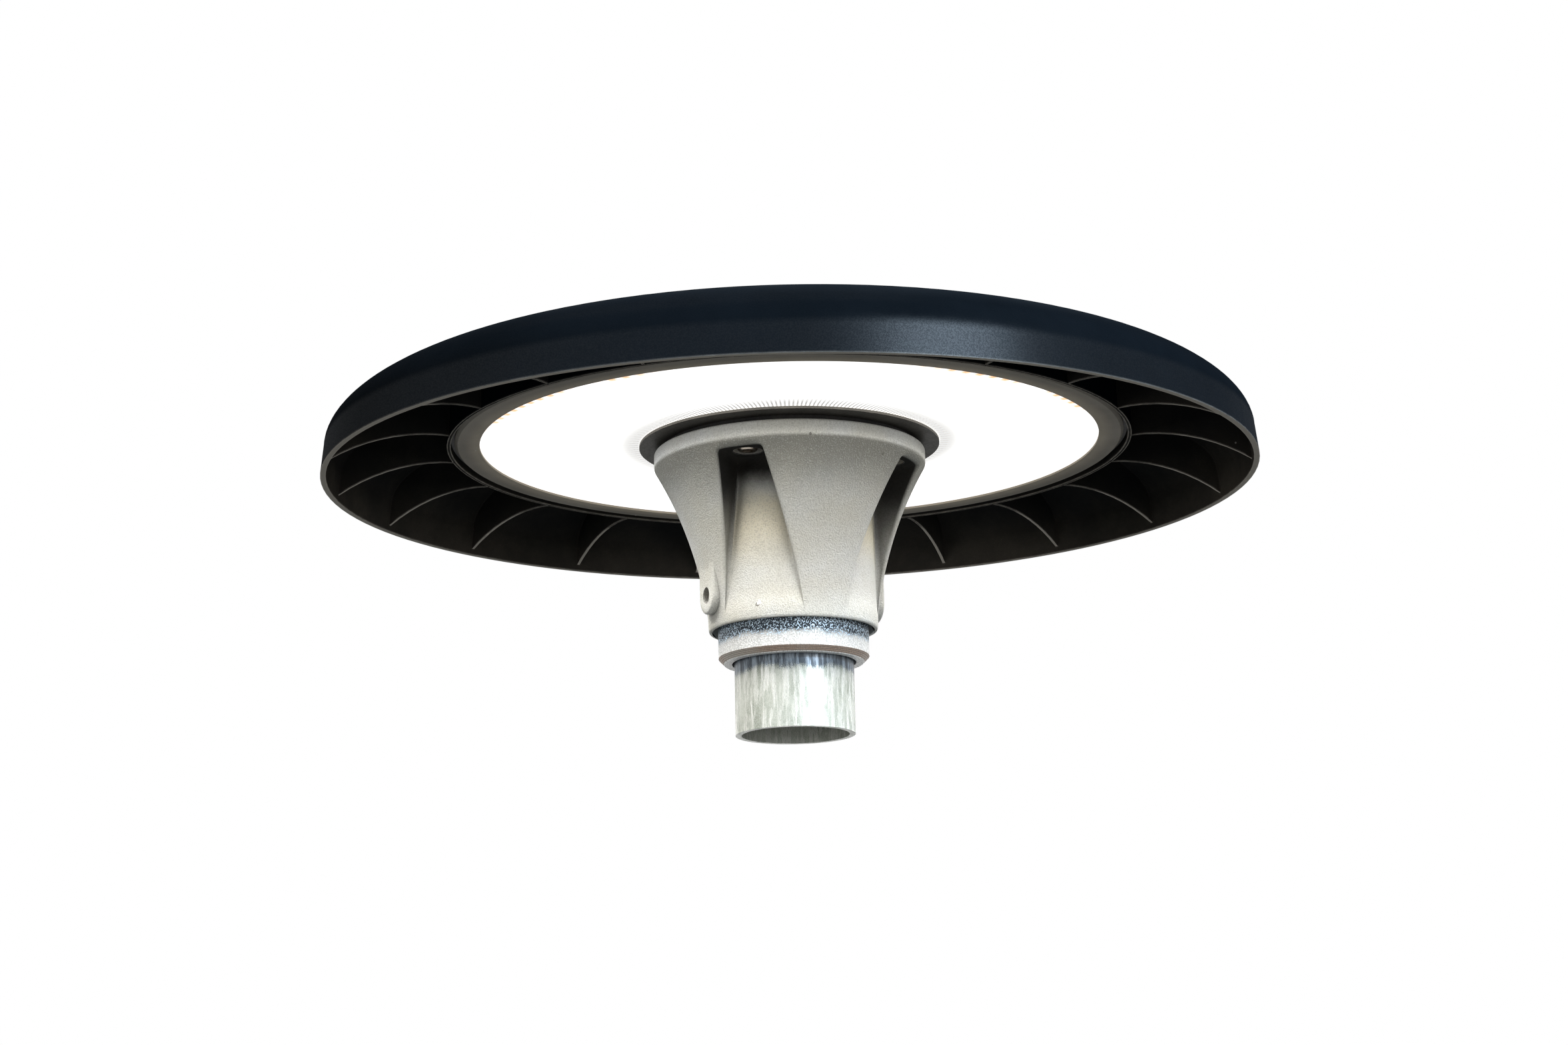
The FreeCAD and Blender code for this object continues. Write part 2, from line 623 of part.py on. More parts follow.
def make_bezel_screws():
    body = new_body("bezel_screws")
    shank = new_sketch(body, "shank", "XY_Plane", Z_BACK_TOP)
    circles(shank, "dims.bezel_screw_diameter / 2", [(BEZEL_SCREW_PLACE, "0")])
    shank_pad = pad(body, shank, "dims.back_thickness + dims.bezel_screw_depth", down=True)
    head = new_sketch(body, "head", "XY_Plane", Z_BACK_TOP)
    circles(head, "dims.bezel_screw_head / 2", [(BEZEL_SCREW_PLACE, "0")])
    head_pad = pad(body, head, "dims.bezel_screw_diameter / 2")
    doc.recompute()
    around(body, [shank_pad, head_pad], "dims.bezel_screw_count")
    return body


def make_outer_seal():
    return ring("outer_seal", RING_INSIDE, BEZEL, "%s + dims.seal_recess" % Z_BEZEL, "dims.outer_seal_height")


def make_leds():
    """Circuit board ring on the bezel's wall, with its light sources facing the guide's edge."""
    middle = "(%s + dims.guide_thickness / 2)" % Z_GUIDE
    board = ring("led_board", BEZEL_INSIDE, BOARD, Z_GUIDE, "dims.guide_thickness")
    body = new_body("leds")
    sketch = new_sketch(body, "face", "XY_Plane", "%s - dims.led_height / 2" % middle)
    chord = "sqrt((%s) ^ 2 - (dims.led_width / 2) ^ 2)" % BOARD
    rectangle(sketch, LED_FACE, chord, "-dims.led_width / 2", "dims.led_width / 2")
    block = pad(body, sketch, "dims.led_height")
    doc.recompute()
    around(body, [block], "dims.led_count")
    return [board, body]


def make_canopy():
    """Cast canopy: a solid dome, opened between its ribs, under their arches and over the optic."""
    body = new_body("canopy")
    dome = new_sketch(body, "dome")
    shoulder = (SHOULDER_CENTRE, Z_WALL, "dims.shoulder_width", "dims.shoulder_height")
    outline(dome, [
        ("0", Z_RIM),
        (RIM, Z_RIM),
        (SHOULDER, Z_WALL),
        (RING, Z_CROWN),
        ("0", "%s + %s" % (Z_DOME_CENTRE, DOME)),
    ], arcs={3: (DOME, "left")}, ellipses={2: shoulder}, loose=(3,))
    revolve(body, dome)
    doc.recompute()
    arch = new_sketch(body, "arch")
    foot = "%s - dims.wall_draft * dims.rib_foot / dims.wall_height" % RIM_INSIDE
    outline(arch, [
        ("0", Z_RIM),
        (RIM_INSIDE, Z_RIM),
        (foot, "%s + dims.rib_foot" % Z_RIM),
        (RING, Z_LIP),
        ("0", Z_LIP),
    ], arcs={2: ("dims.rib_radius", "left")})
    revolve(body, arch, cut=True)
    doc.recompute()
    bay = new_sketch(body, "bay", turn=180.0 / value("dims.rib_count"))
    inside = (SHOULDER_CENTRE, Z_WALL, "dims.shoulder_width - dims.canopy_wall",
              "dims.shoulder_height - dims.canopy_wall")
    inside_cosine = "(%s - %s) / (dims.shoulder_width - dims.canopy_wall)" % (RING, SHOULDER_CENTRE)
    inside_crown = "%s + (dims.shoulder_height - dims.canopy_wall) * sqrt(1 - (%s) ^ 2)" % (Z_WALL, inside_cosine)
    outline(bay, [
        (RING, Z_RIM),
        (RIM_INSIDE, Z_RIM),
        ("%s - dims.canopy_wall" % SHOULDER, Z_WALL),
        (RING, inside_crown),
    ], ellipses={2: inside}, loose=(3,))
    bay_cut = revolve(body, bay, cut=True)
    bay_cut.Midplane = True
    bay_cut.setExpression("Angle", "360 deg / dims.rib_count - 2 * asin(dims.rib_thickness / 2 / %s)" % RIM_INSIDE)
    doc.recompute()
    around(body, [bay_cut], "dims.rib_count")
    chamber = new_sketch(body, "chamber")
    outline(chamber, [
        ("0", Z_LIP),
        (RING_INSIDE, Z_LIP),
        (RING_INSIDE, "%s + sqrt((%s) ^ 2 - (%s) ^ 2)" % (Z_DOME_CENTRE, DOME_INSIDE, RING_INSIDE)),
        ("0", "%s + %s" % (Z_DOME_CENTRE, DOME_INSIDE)),
    ], arcs={2: (DOME_INSIDE, "left")})
    doc.recompute()
    revolve(body, chamber, cut=True)
    doc.recompute()
    add_hubs(body)
    return body


def add_hubs(body):
    """Screw bosses under the dome, with spigots that reach through the back plate."""
    place = [(SCREW_PLACE, "0")]
    hub_outside = "(%s + dims.hub_diameter / 2)" % SCREW_PLACE
    roof = "(%s + sqrt((%s) ^ 2 - %s ^ 2))" % (Z_DOME_CENTRE, DOME, hub_outside)
    hub = new_sketch(body, "hub", "XY_Plane", Z_BACK_TOP)
    circles(hub, "dims.hub_diameter / 2", place)
    hub_pad = pad(body, hub, "%s - dims.canopy_wall / 3 - %s" % (roof, Z_BACK_TOP))
    spigot = new_sketch(body, "spigot", "XY_Plane", Z_PLATE_TOP)
    circles(spigot, "dims.hub_spigot / 2", place)
    doc.recompute()
    spigot_pad = pad(body, spigot, "%s - %s" % (Z_BACK_TOP, Z_PLATE_TOP))
    thread = new_sketch(body, "thread", "XY_Plane", Z_PLATE_TOP)
    circles(thread, "dims.screw_diameter / 2", place)
    doc.recompute()
    thread_cut = pocket(body, thread, "dims.thread_depth", up=True)
    doc.recompute()
    around(body, [hub_pad, spigot_pad, thread_cut], "dims.hollow_count")


def driver_fixings():
    reach = "(dims.driver_length + dims.ear_length) / 2"
    return [("-%s" % reach, "dims.driver_place"), (reach, "dims.driver_place")]


def terminal_fixings():
    reach = "(dims.terminal_length + dims.terminal_foot) / 2"
    return [("-%s" % reach, "-dims.terminal_place"), (reach, "-dims.terminal_place")]


def box_with_ears(label, length, width, height, place, ear_length, ear_width, ear_thickness, fixings):
    """Make a case on the back plate with a fixing ear at each end."""
    body = new_body(label)
    case = new_sketch(body, "case", "XY_Plane", Z_BACK_TOP)
    rectangle(case, "-%s / 2" % length, "%s / 2" % length,
              "%s - %s / 2" % (place, width), "%s + %s / 2" % (place, width))
    pad(body, case, height)
    ears = new_sketch(body, "ears", "XY_Plane", Z_BACK_TOP)
    rectangle(ears, "-%s / 2 - %s" % (length, ear_length), "%s / 2 + %s" % (length, ear_length),
              "%s - %s / 2" % (place, ear_width), "%s + %s / 2" % (place, ear_width))
    pad(body, ears, ear_thickness)
    fixing_holes = new_sketch(body, "fixing_holes", "XY_Plane", Z_BACK_TOP)
    circles(fixing_holes, "dims.small_screw_diameter / 2", fixings)
    doc.recompute()
    pocket(body, fixing_holes, ear_thickness, up=True)
    return body


def small_screws(label, fixings, ear_thickness):
    """Make the screws that hold a case's ears on the back plate."""
    body = new_body(label)
    shank = new_sketch(body, "shank", "XY_Plane", Z_BACK)
    circles(shank, "dims.small_screw_diameter / 2", fixings)
    pad(body, shank, "dims.back_thickness + %s" % ear_thickness)
    head = new_sketch(body, "head", "XY_Plane", "%s + %s" % (Z_BACK_TOP, ear_thickness))
    circles(head, "dims.small_screw_head / 2", fixings)
    pad(body, head, "dims.small_screw_rise")
    return body


def make_driver():
    body = box_with_ears("driver", "dims.driver_length", "dims.driver_width", "dims.driver_height",
                         "dims.driver_place", "dims.ear_length", "dims.ear_width", "dims.ear_thickness",
                         driver_fixings())
    return [body, small_screws("driver_screws", driver_fixings(), "dims.ear_thickness")]


def make_terminal_block():
    body = box_with_ears("terminal_block", "dims.terminal_length", "dims.terminal_width",
                         "dims.terminal_height", "-dims.terminal_place", "dims.terminal_foot",
                         "dims.terminal_width", "dims.terminal_base", terminal_fixings())
    poles = ["-dims.terminal_pitch", "0", "dims.terminal_pitch"]
    entries = new_sketch(body, "wire_entries")
    entry_height = "%s + dims.terminal_base + dims.wire_hole" % Z_BACK_TOP
    circles(entries, "dims.wire_hole / 2", [(pole, entry_height) for pole in poles])
    doc.recompute()
    pocket(body, entries)
    clamps = new_sketch(body, "clamp_holes", "XY_Plane", "%s + dims.terminal_height" % Z_BACK_TOP)
    circles(clamps, "dims.wire_hole / 2", [(pole, "-dims.terminal_place") for pole in poles])
    doc.recompute()
    pocket(body, clamps, "dims.terminal_height - dims.terminal_base - dims.wire_hole")
    return [body, small_screws("terminal_screws", terminal_fixings(), "dims.terminal_base")]


def make_gland():
    """Cable gland through the centre plate: body, locknut, seal and cap."""
    thread = "dims.gland_diameter / 2"
    shoulder = "(%s - dims.gland_flange)" % Z_PLATE
    tail = "(%s - dims.gland_tail)" % shoulder
    body = new_body("gland_body")
    stem = new_sketch(body, "stem", "XY_Plane", tail)
    circles(stem, thread)
    pad(body, stem, "%s + dims.nut_thickness + dims.thread_end - %s" % (Z_PLATE_TOP, tail))
    flange = new_sketch(body, "flange", "XY_Plane", shoulder)
    hexagon(flange, "dims.gland_hex")
    pad(body, flange, "dims.gland_flange")
    way = new_sketch(body, "way", "XY_Plane", tail)
    circles(way, "dims.gland_bore / 2")
    doc.recompute()
    pocket(body, way)
    nut = new_body("gland_locknut")
    face = new_sketch(nut, "face", "XY_Plane", Z_PLATE_TOP)
    hexagon(face, "dims.nut_hex")
    circles(face, thread)
    pad(nut, face, "dims.nut_thickness")
    seal = ring("gland_seal", "dims.gland_bore / 2", "dims.cable_diameter / 2", tail, "dims.gland_tail")
    cap = new_body("gland_cap")
    section = new_sketch(cap, "section")
    cap_edge = "dims.cap_diameter / 2"
    outline(section, [
        (thread, shoulder),
        (thread, tail),
        ("dims.gland_bore / 2", tail),
        ("dims.gland_bore / 2", "%s - dims.cap_height" % shoulder),
        ("%s - dims.cap_bevel" % cap_edge, "%s - dims.cap_height" % shoulder),
        (cap_edge, "%s - dims.cap_height + dims.cap_bevel" % shoulder),
        (cap_edge, shoulder),
    ])
    revolve(cap, section)
    return [body, nut, seal, cap]


def check_and_write(bodies):
    """Stop on a failed feature, then write each sub-part to its own file."""
    doc.recompute()
    for item in doc.Objects:
        if "Invalid" in item.State or "Error" in item.State:
            raise RuntimeError("%s failed: %s" % (item.Name, item.State))
    os.makedirs("parts", exist_ok=True)
    for body in bodies:
        if body.Shape.isNull() or not body.Shape.isValid():
            raise RuntimeError("%s has no valid shape" % body.Label)
        body.Shape.exportStep("parts/%s.step" % body.Label)


bodies = [make_pole(), make_sleeve(), make_neck(), make_set_screws(), make_neck_screws(), make_neck_gasket()]
bodies += [make_centre_plate()] + make_gland() + make_optic()
bodies += [make_bezel(), make_back_plate(), make_bezel_screws(), make_outer_seal()] + make_leds()
bodies += make_driver() + make_terminal_block() + [make_canopy()]
check_and_write(bodies)
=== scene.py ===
"""Looks of the post-top park light: neck casting, prismatic light guide, finishes and studio."""
import json
import math

import bmesh
import bpy
from mathutils import Matrix, Vector


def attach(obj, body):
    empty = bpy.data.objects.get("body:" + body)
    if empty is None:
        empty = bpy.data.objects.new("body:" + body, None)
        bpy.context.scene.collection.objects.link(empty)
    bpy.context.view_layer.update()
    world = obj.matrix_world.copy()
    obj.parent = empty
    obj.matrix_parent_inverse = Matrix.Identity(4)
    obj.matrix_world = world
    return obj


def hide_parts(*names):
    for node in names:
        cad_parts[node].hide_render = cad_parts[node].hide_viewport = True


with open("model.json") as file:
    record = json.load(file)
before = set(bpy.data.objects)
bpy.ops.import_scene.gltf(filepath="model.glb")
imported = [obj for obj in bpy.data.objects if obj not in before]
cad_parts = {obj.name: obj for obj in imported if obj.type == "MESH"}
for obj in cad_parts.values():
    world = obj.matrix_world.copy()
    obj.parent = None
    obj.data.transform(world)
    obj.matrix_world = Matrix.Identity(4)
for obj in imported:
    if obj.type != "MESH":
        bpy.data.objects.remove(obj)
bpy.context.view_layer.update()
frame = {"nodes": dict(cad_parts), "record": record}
MM = 0.001
FULL_TURN = 2 * math.pi

# Heights on the neck casting, in millimetres
MOUTH = 52.5
HOLLOW_FOOT = 54.5
HOLLOW_FOOT_RUN = 8.0
SOCKET_STOP = 122.5
WEB_TOP = 128.5
CEILING = 134.6
BAND = 137.0
BAND_TOP = 139.0
FLANGE_TOP = 146.0

# Radii and half widths on the neck casting, in millimetres
COLLAR_RADIUS = 42.65
CORE_RADIUS = 41.2
FLARE_RADIUS = 199.0
BAND_RADIUS = 68.86
FLANGE_RADIUS = 69.4
MOUTH_BORE = 40.75
SOCKET_BORE = 38.3
WEB_HOLE = 26.0
WELL = 40.0
HOLLOW_FOOT_HALF = 21.8
HOLLOW_TOP_HALF = 11.9

# Edges of the neck casting, in millimetres; the shares of a hollow's depth limit them where it runs out
LAND_EDGE = 1.3
HOLLOW_FILLET = 2.2
EDGE_SHARE = 0.3
FILLET_SHARE = 0.42
LEAST_DEPTH = 0.02
BAND_ROUND = 4.0
FLANGE_ROUND = 1.8
WELL_CHAMFER = 0.6
MOUTH_CHAMFER = 0.4

# Points on the parts of the neck's outline
FLOOR_POINTS = 7
FILLET_POINTS = 6
WALL_POINTS = 6
EDGE_POINTS = 6
LAND_POINTS = 12

# Steps from ring to ring on the neck, in millimetres; those of the mouth go out and up
MOUTH_STEPS = ((-0.9, 0.0), (-0.25, 0.25), (0.05, 0.9))
SIDE_START = 1.5
SIDE_STEP = 2.6
SIDE_GAP = 0.5
BAND_STEPS = (0.5, 1.0, 1.5, 2.0)

# Rings on the neck's roundings: shares of the fillet in the hollows, and degrees on the flange
CEILING_STEPS = (0.0, 0.3, 0.55, 0.75, 0.92)
FLANGE_TURNS = (0, 18, 36, 54, 72, 90)

# Rings that close the hollows: rise of the lands in millimetres, then inset and rise in shares of LAND_EDGE
CLOSING_STEPS = ((-0.1, 1.0, 0.0), (0.4, 0.3, 0.3))
CLOSING_POWER = 6

# Set-screw bosses, in millimetres and degrees
BOSS_TURNS = (225.0, 45.0)
BOSS_HEIGHT = 68.6
BOSS_RUN = 21.0
BOSS_HALF = 9.5
BOSS_ROOT = 41.0
BOSS_FACE = 47.0
BOSS_EDGE = 1.3
BOSS_EDGE_TURNS = (22.5, 45, 67.5, 90)
BOSS_ARC_STEPS = 24

# Holes in the neck: radius, and where each starts and ends along its axis, in millimetres
SET_SCREW_HOLE = 4.3
SET_SCREW_RUN = (36.0, 50.0)
NECK_SCREW_CIRCLE = 54.3
HEAD_SEAT = 7.4
HEAD_SEAT_RUN = (134.0, 139.0)
SCREW_HOLE = 4.4
SCREW_HOLE_RUN = (138.0, 148.0)
HOLE_SEGMENTS = 40

# Light guide, in millimetres; its profile gives radii with shares of the prisms' depth
GUIDE_BORE = 70.0
GUIDE_EDGE = 164.2
GUIDE_FACE = 150.4
GUIDE_BACK = 155.4
GUIDE_PROFILE = ((GUIDE_BORE, 0.0), (77.0, 0.0), (77.6, 1.0), (84.0, 1.0), (90.0, 0.6), (97.0, 0.0),
                 (130.0, 0.0), (GUIDE_EDGE, 0.0))
PRISM_COUNT = 240
PRISM_DEPTH = 0.5
PRISM_STEPS = 4
LED_COUNT = 120

# Edges sharper than these angles stay sharp, in degrees
NECK_SMOOTHING = 38
GUIDE_SMOOTHING = 30


def new_object(name, content):
    """Puts an object with a mesh, a lamp or a camera into the scene."""
    thing = bpy.data.objects.new(name, content)
    bpy.context.scene.collection.objects.link(thing)
    return thing


def add_piece(name, points, faces):
    """A mesh object from corner points in millimetres and faces."""
    mesh = bpy.data.meshes.new(name)
    mesh.from_pydata([Vector(point) * MM for point in points], [], faces)
    return new_object(name, mesh)


def smooth_over(piece, degrees):
    """Shades a piece smoothly, apart from the edges sharper than an angle."""
    piece.data.shade_smooth()
    piece.data.set_sharp_from_angle(angle=math.radians(degrees))


def face_outward(piece):
    """Turns all faces of a closed piece to its outside."""
    work = bmesh.new()
    work.from_mesh(piece.data)
    bmesh.ops.recalc_face_normals(work, faces=work.faces)
    work.to_mesh(piece.data)
    work.free()


def band_faces(low, high, count):
    """Faces between two rings of points, given by the numbers of the rings' first points."""
    faces = []
    for column in range(count):
        following = (column + 1) % count
        faces.append((low + column, low + following, high + following, high + column))
    return faces


def loft(name, rings):
    """Skin over closed rings with the same number of points, the last joined to the first."""
    count = len(rings[0])
    points = [point for ring in rings for point in ring]
    faces = []
    for row in range(len(rings)):
        faces += band_faces(row * count, (row + 1) % len(rings) * count, count)
    piece = add_piece(name, points, faces)
    face_outward(piece)
    return piece


def flare_centre():
    """Centre of the hollow curve of the neck's side, as radius and height."""
    rise, run = BAND - MOUTH, BAND_RADIUS - COLLAR_RADIUS
    chord = math.hypot(rise, run)
    reach = math.sqrt(FLARE_RADIUS ** 2 - chord ** 2 / 4)
    return (COLLAR_RADIUS + BAND_RADIUS) / 2 + reach * rise / chord, (MOUTH + BAND) / 2 - reach * run / chord


FLARE_CENTRE = flare_centre()


def flare_at(z):
    """Radius of the neck's side at a height."""
    return FLARE_CENTRE[0] - math.sqrt(FLARE_RADIUS ** 2 - (z - FLARE_CENTRE[1]) ** 2)


def between(start, end, share):
    """The number at a share of the way from start to end."""
    return start + (end - start) * share


def spread(start, end, count):
    """Evenly spaced numbers from start up to, but without, end."""
    return [between(start, end, step / count) for step in range(count)]


def arc(centre, radius, start, end, count):
    """Points of an arc in plan, without its last point."""
    return [(centre[0] + radius * math.cos(angle), centre[1] + radius * math.sin(angle))
            for angle in spread(start, end, count)]


def eighth_outline(land, core, half):
    """Half a hollow and half a land in plan, from the hollow's middle, and the angle of the land's start."""
    depth = max(land - core, LEAST_DEPTH)
    edge = min(LAND_EDGE, EDGE_SHARE * depth)
    fillet = min(HOLLOW_FILLET, FILLET_SHARE * depth)
    fillet_out = math.sqrt((core + fillet) ** 2 - (half - fillet) ** 2)
    floor_end = math.atan2(half - fillet, fillet_out)
    edge_out = math.sqrt((land - edge) ** 2 - (half + edge) ** 2)
    land_start = math.atan2(half + edge, edge_out)
    points = arc((0, 0), core, 0, floor_end, FLOOR_POINTS)
    points += arc((fillet_out, half - fillet), fillet, floor_end + math.pi, math.pi / 2, FILLET_POINTS)
    points += [(out, half) for out in spread(fillet_out, edge_out, WALL_POINTS)]
    points += arc((edge_out, half + edge), edge, -math.pi / 2, land_start, EDGE_POINTS)
    points += arc((0, 0), land, land_start, math.pi / 4, LAND_POINTS)
    return points, land_start


def whole_outline(eighth, heights):
    """The outline of an eighth mirrored and turned round the neck's axis, as points with their heights."""
    side = [(math.hypot(out, across), math.atan2(across, out), z)
            for (out, across), z in zip(eighth, heights)]
    mirrored = [(radius, -angle, z) for radius, angle, z in reversed(side[1:])]
    points = []
    for turn in range(4):
        middle = math.radians(90 * turn)
        for radius, angle, z in mirrored + side:
            points.append((radius * math.cos(middle + angle), radius * math.sin(middle + angle), z))
    return points


def hollow_ring(z, sink=0.0):
    """Ring of the neck at a height of its hollows; sink draws a hollow in from its floor and walls."""
    share = (z - MOUTH) / (CEILING - MOUTH)
    land = flare_at(z)
    deepening = min(1.0, max(0.0, (z - HOLLOW_FOOT) / HOLLOW_FOOT_RUN))
    core = land - (land - between(COLLAR_RADIUS, CORE_RADIUS, share)) * deepening ** 2 + sink
    half = between(HOLLOW_FOOT_HALF, HOLLOW_TOP_HALF, share) - sink
    eighth, _ = eighth_outline(land, core, half)
    return whole_outline(eighth, [z] * len(eighth))


def ceiling_ring(land_z, hollow_radius, hollow_z):
    """Ring that closes the hollows: their points lie on an arc at the given radius and height."""
    eighth, land_start = eighth_outline(flare_at(land_z), CORE_RADIUS + HOLLOW_FILLET,
                                        HOLLOW_TOP_HALF - HOLLOW_FILLET)
    inside = len(eighth) - LAND_POINTS
    closed, heights = [], []
    for number, (out, across) in enumerate(eighth):
        share = min(1.0, number / inside)
        angle = land_start * share if number < inside else math.atan2(across, out)
        drawn = share ** CLOSING_POWER
        radius = between(hollow_radius, flare_at(land_z), drawn)
        closed.append((radius * math.cos(angle), radius * math.sin(angle)))
        heights.append(between(hollow_z, land_z, drawn))
    return whole_outline(closed, heights)


def plain_ring(radius, z, pattern):
    """Round ring whose points keep the angles of a pattern ring."""
    return [(radius * x / math.hypot(x, y), radius * y / math.hypot(x, y), z) for x, y, _ in pattern]


def flange_profile():
    """Radii and heights of the neck from the top of its flare to the top of its flange."""
    profile = [(BAND_RADIUS, BAND)]
    for rise in BAND_STEPS:
        bulge = math.sqrt(BAND_ROUND ** 2 - (BAND_TOP - BAND - rise) ** 2)
        profile.append((FLANGE_RADIUS - BAND_ROUND + bulge, BAND + rise))
    for turn in FLANGE_TURNS:
        lean = math.radians(turn)
        inset = FLANGE_ROUND * (1 - math.cos(lean))
        drop = FLANGE_ROUND * (1 - math.sin(lean))
        profile.append((FLANGE_RADIUS - inset, FLANGE_TOP - drop))
    return profile


def bore_profile():
    """Radii and heights of the neck's inside: down the well, through the web and down the tapered socket."""
    return [(WELL + WELL_CHAMFER, FLANGE_TOP), (WELL, FLANGE_TOP - WELL_CHAMFER),
            (WELL, WEB_TOP), (WEB_HOLE, WEB_TOP),
            (WEB_HOLE, SOCKET_STOP), (SOCKET_BORE, SOCKET_STOP),
            (between(MOUTH_BORE, SOCKET_BORE, 0.5), between(MOUTH, SOCKET_STOP, 0.5)),
            (MOUTH_BORE, MOUTH + MOUTH_CHAMFER), (MOUTH_BORE + MOUTH_CHAMFER, MOUTH)]


def neck_rings():
    """All rings of the neck: up its side, in over the flange, and down through the well and the socket."""
    low_pattern = hollow_ring(MOUTH + SIDE_START)
    rings = [plain_ring(COLLAR_RADIUS + out, MOUTH + up, low_pattern) for out, up in MOUTH_STEPS]
    z = MOUTH + SIDE_START
    while z < CEILING - HOLLOW_FILLET - SIDE_GAP:
        rings.append(hollow_ring(z))
        z += SIDE_STEP
    for rise in CEILING_STEPS:
        sink = HOLLOW_FILLET * (1 - math.sqrt(1 - rise ** 2))
        rings.append(hollow_ring(CEILING - HOLLOW_FILLET * (1 - rise), sink))
    for land_rise, inset, hollow_rise in CLOSING_STEPS:
        hollow_radius = flare_at(CEILING) - inset * LAND_EDGE
        rings.append(ceiling_ring(CEILING + land_rise, hollow_radius, CEILING + hollow_rise * LAND_EDGE))
    closed = CEILING + LAND_EDGE
    top_pattern = ceiling_ring(closed, flare_at(closed), closed)
    rings.append(top_pattern)
    for radius, z in flange_profile() + bore_profile():
        rings.append(plain_ring(radius, z, top_pattern))
    return rings


def turned(degrees, axis):
    """A turn round one axis."""
    return Matrix.Rotation(math.radians(degrees), 4, axis)


def round_bar(name, radius, run, turn_to):
    """Closed round bar whose axis is turned by a matrix, in millimetres."""
    low, high = run
    work = bmesh.new()
    bmesh.ops.create_cone(work, cap_ends=True, segments=HOLE_SEGMENTS,
                          radius1=radius * MM, radius2=radius * MM, depth=(high - low) * MM,
                          matrix=turn_to @ Matrix.Translation((0, 0, (low + high) / 2 * MM)))
    mesh = bpy.data.meshes.new(name)
    work.to_mesh(mesh)
    work.free()
    return new_object(name, mesh)


def boss_block(turn):
    """Set-screw boss: an upright slot shape with a softened face, pointing out of the neck."""
    outline = []
    for step in range(BOSS_ARC_STEPS + 1):
        angle = math.radians(180 + 180 * step / BOSS_ARC_STEPS)
        outline.append((BOSS_HALF * math.cos(angle), BOSS_HEIGHT + BOSS_HALF * math.sin(angle)))
    outline += [(BOSS_HALF, BOSS_HEIGHT + BOSS_RUN), (-BOSS_HALF, BOSS_HEIGHT + BOSS_RUN)]
    steps = [(BOSS_ROOT, 0.0), (BOSS_FACE - BOSS_EDGE, 0.0)]
    for lean in [math.radians(degrees) for degrees in BOSS_EDGE_TURNS]:
        steps.append((BOSS_FACE - BOSS_EDGE * (1 - math.sin(lean)), BOSS_EDGE * (1 - math.cos(lean))))
    count = len(outline)
    points = []
    for reach, inset in steps:
        scale = (BOSS_HALF - inset) / BOSS_HALF
        for across, z in outline:
            lifted = BOSS_HEIGHT + (z - BOSS_HEIGHT) * scale if z < BOSS_HEIGHT else z
            points.append((reach, across * scale, lifted))
    faces = []
    for row in range(len(steps) - 1):
        faces += band_faces(row * count, (row + 1) * count, count)
    faces.append(tuple(range(count)))
    faces.append(tuple(range((len(steps) - 1) * count, len(steps) * count)))
    block = add_piece("boss_block", points, faces)
    face_outward(block)
    block.data.transform(turned(turn, "Z"))
    return block


def machine(piece, tool, operation):
    """Joins a block to a piece, or cuts it with one, and takes the tool away."""
    step = piece.modifiers.new(tool.name, "BOOLEAN")
    step.operation = operation
    step.solver = "EXACT"
    step.object = tool
    bpy.context.view_layer.update()
    shaped = bpy.data.meshes.new_from_object(piece.evaluated_get(bpy.context.evaluated_depsgraph_get()))
    piece.modifiers.remove(step)
    old = piece.data
    piece.data = shaped
    bpy.data.meshes.remove(old)
    bpy.data.objects.remove(tool)


def make_neck_casting():
    """Cast neck with rounded lands, bosses with holes for the set screws, and screw seats."""
    neck = loft("neck_casting", neck_rings())
    for turn in BOSS_TURNS:
        machine(neck, boss_block(turn), "UNION")
    for turn in BOSS_TURNS:
        outward = turned(turn, "Z") @ turned(90, "Y")
        outward.translation = (0, 0, BOSS_HEIGHT * MM)
        machine(neck, round_bar("set_screw_hole", SET_SCREW_HOLE, SET_SCREW_RUN, outward), "DIFFERENCE")
    for quarter in range(4):
        upright = turned(90 * quarter, "Z") @ Matrix.Translation((NECK_SCREW_CIRCLE * MM, 0, 0))
        machine(neck, round_bar("head_seat", HEAD_SEAT, HEAD_SEAT_RUN, upright), "DIFFERENCE")
        machine(neck, round_bar("screw_hole", SCREW_HOLE, SCREW_HOLE_RUN, upright), "DIFFERENCE")
    smooth_over(neck, NECK_SMOOTHING)
    return neck


def make_light_guide():
    """Ring of clear sheet with fine radial prisms round its inner edge."""
    steps = PRISM_COUNT * PRISM_STEPS
    rings = []
    for radius, ridge in GUIDE_PROFILE:
        ring = []
        for step in range(steps):
            angle = FULL_TURN * step / steps
            lift = PRISM_DEPTH * ridge * (0.5 - 0.5 * math.cos(PRISM_COUNT * angle))
            ring.append((radius * math.cos(angle), radius * math.sin(angle), GUIDE_FACE + lift))
        rings.append(ring)
    for radius in (GUIDE_EDGE, GUIDE_BORE):
        rings.append(plain_ring(radius, GUIDE_BACK, rings[0]))
    guide = loft("prism_light_guide", rings)
    smooth_over(guide, GUIDE_SMOOTHING)
    return guide


def feed(tree, socket, given):
    """Links another node's output to a socket, or sets the socket to a plain value."""
    if isinstance(given, bpy.types.NodeSocket):
        tree.links.new(given, socket)
    else:
        socket.default_value = given


def set_inputs(tree, node, **values):
    """Feeds the inputs of a node; their names are given with underscores for spaces."""
    for name, given in values.items():
        feed(tree, node.inputs[name.replace("_", " ")], given)


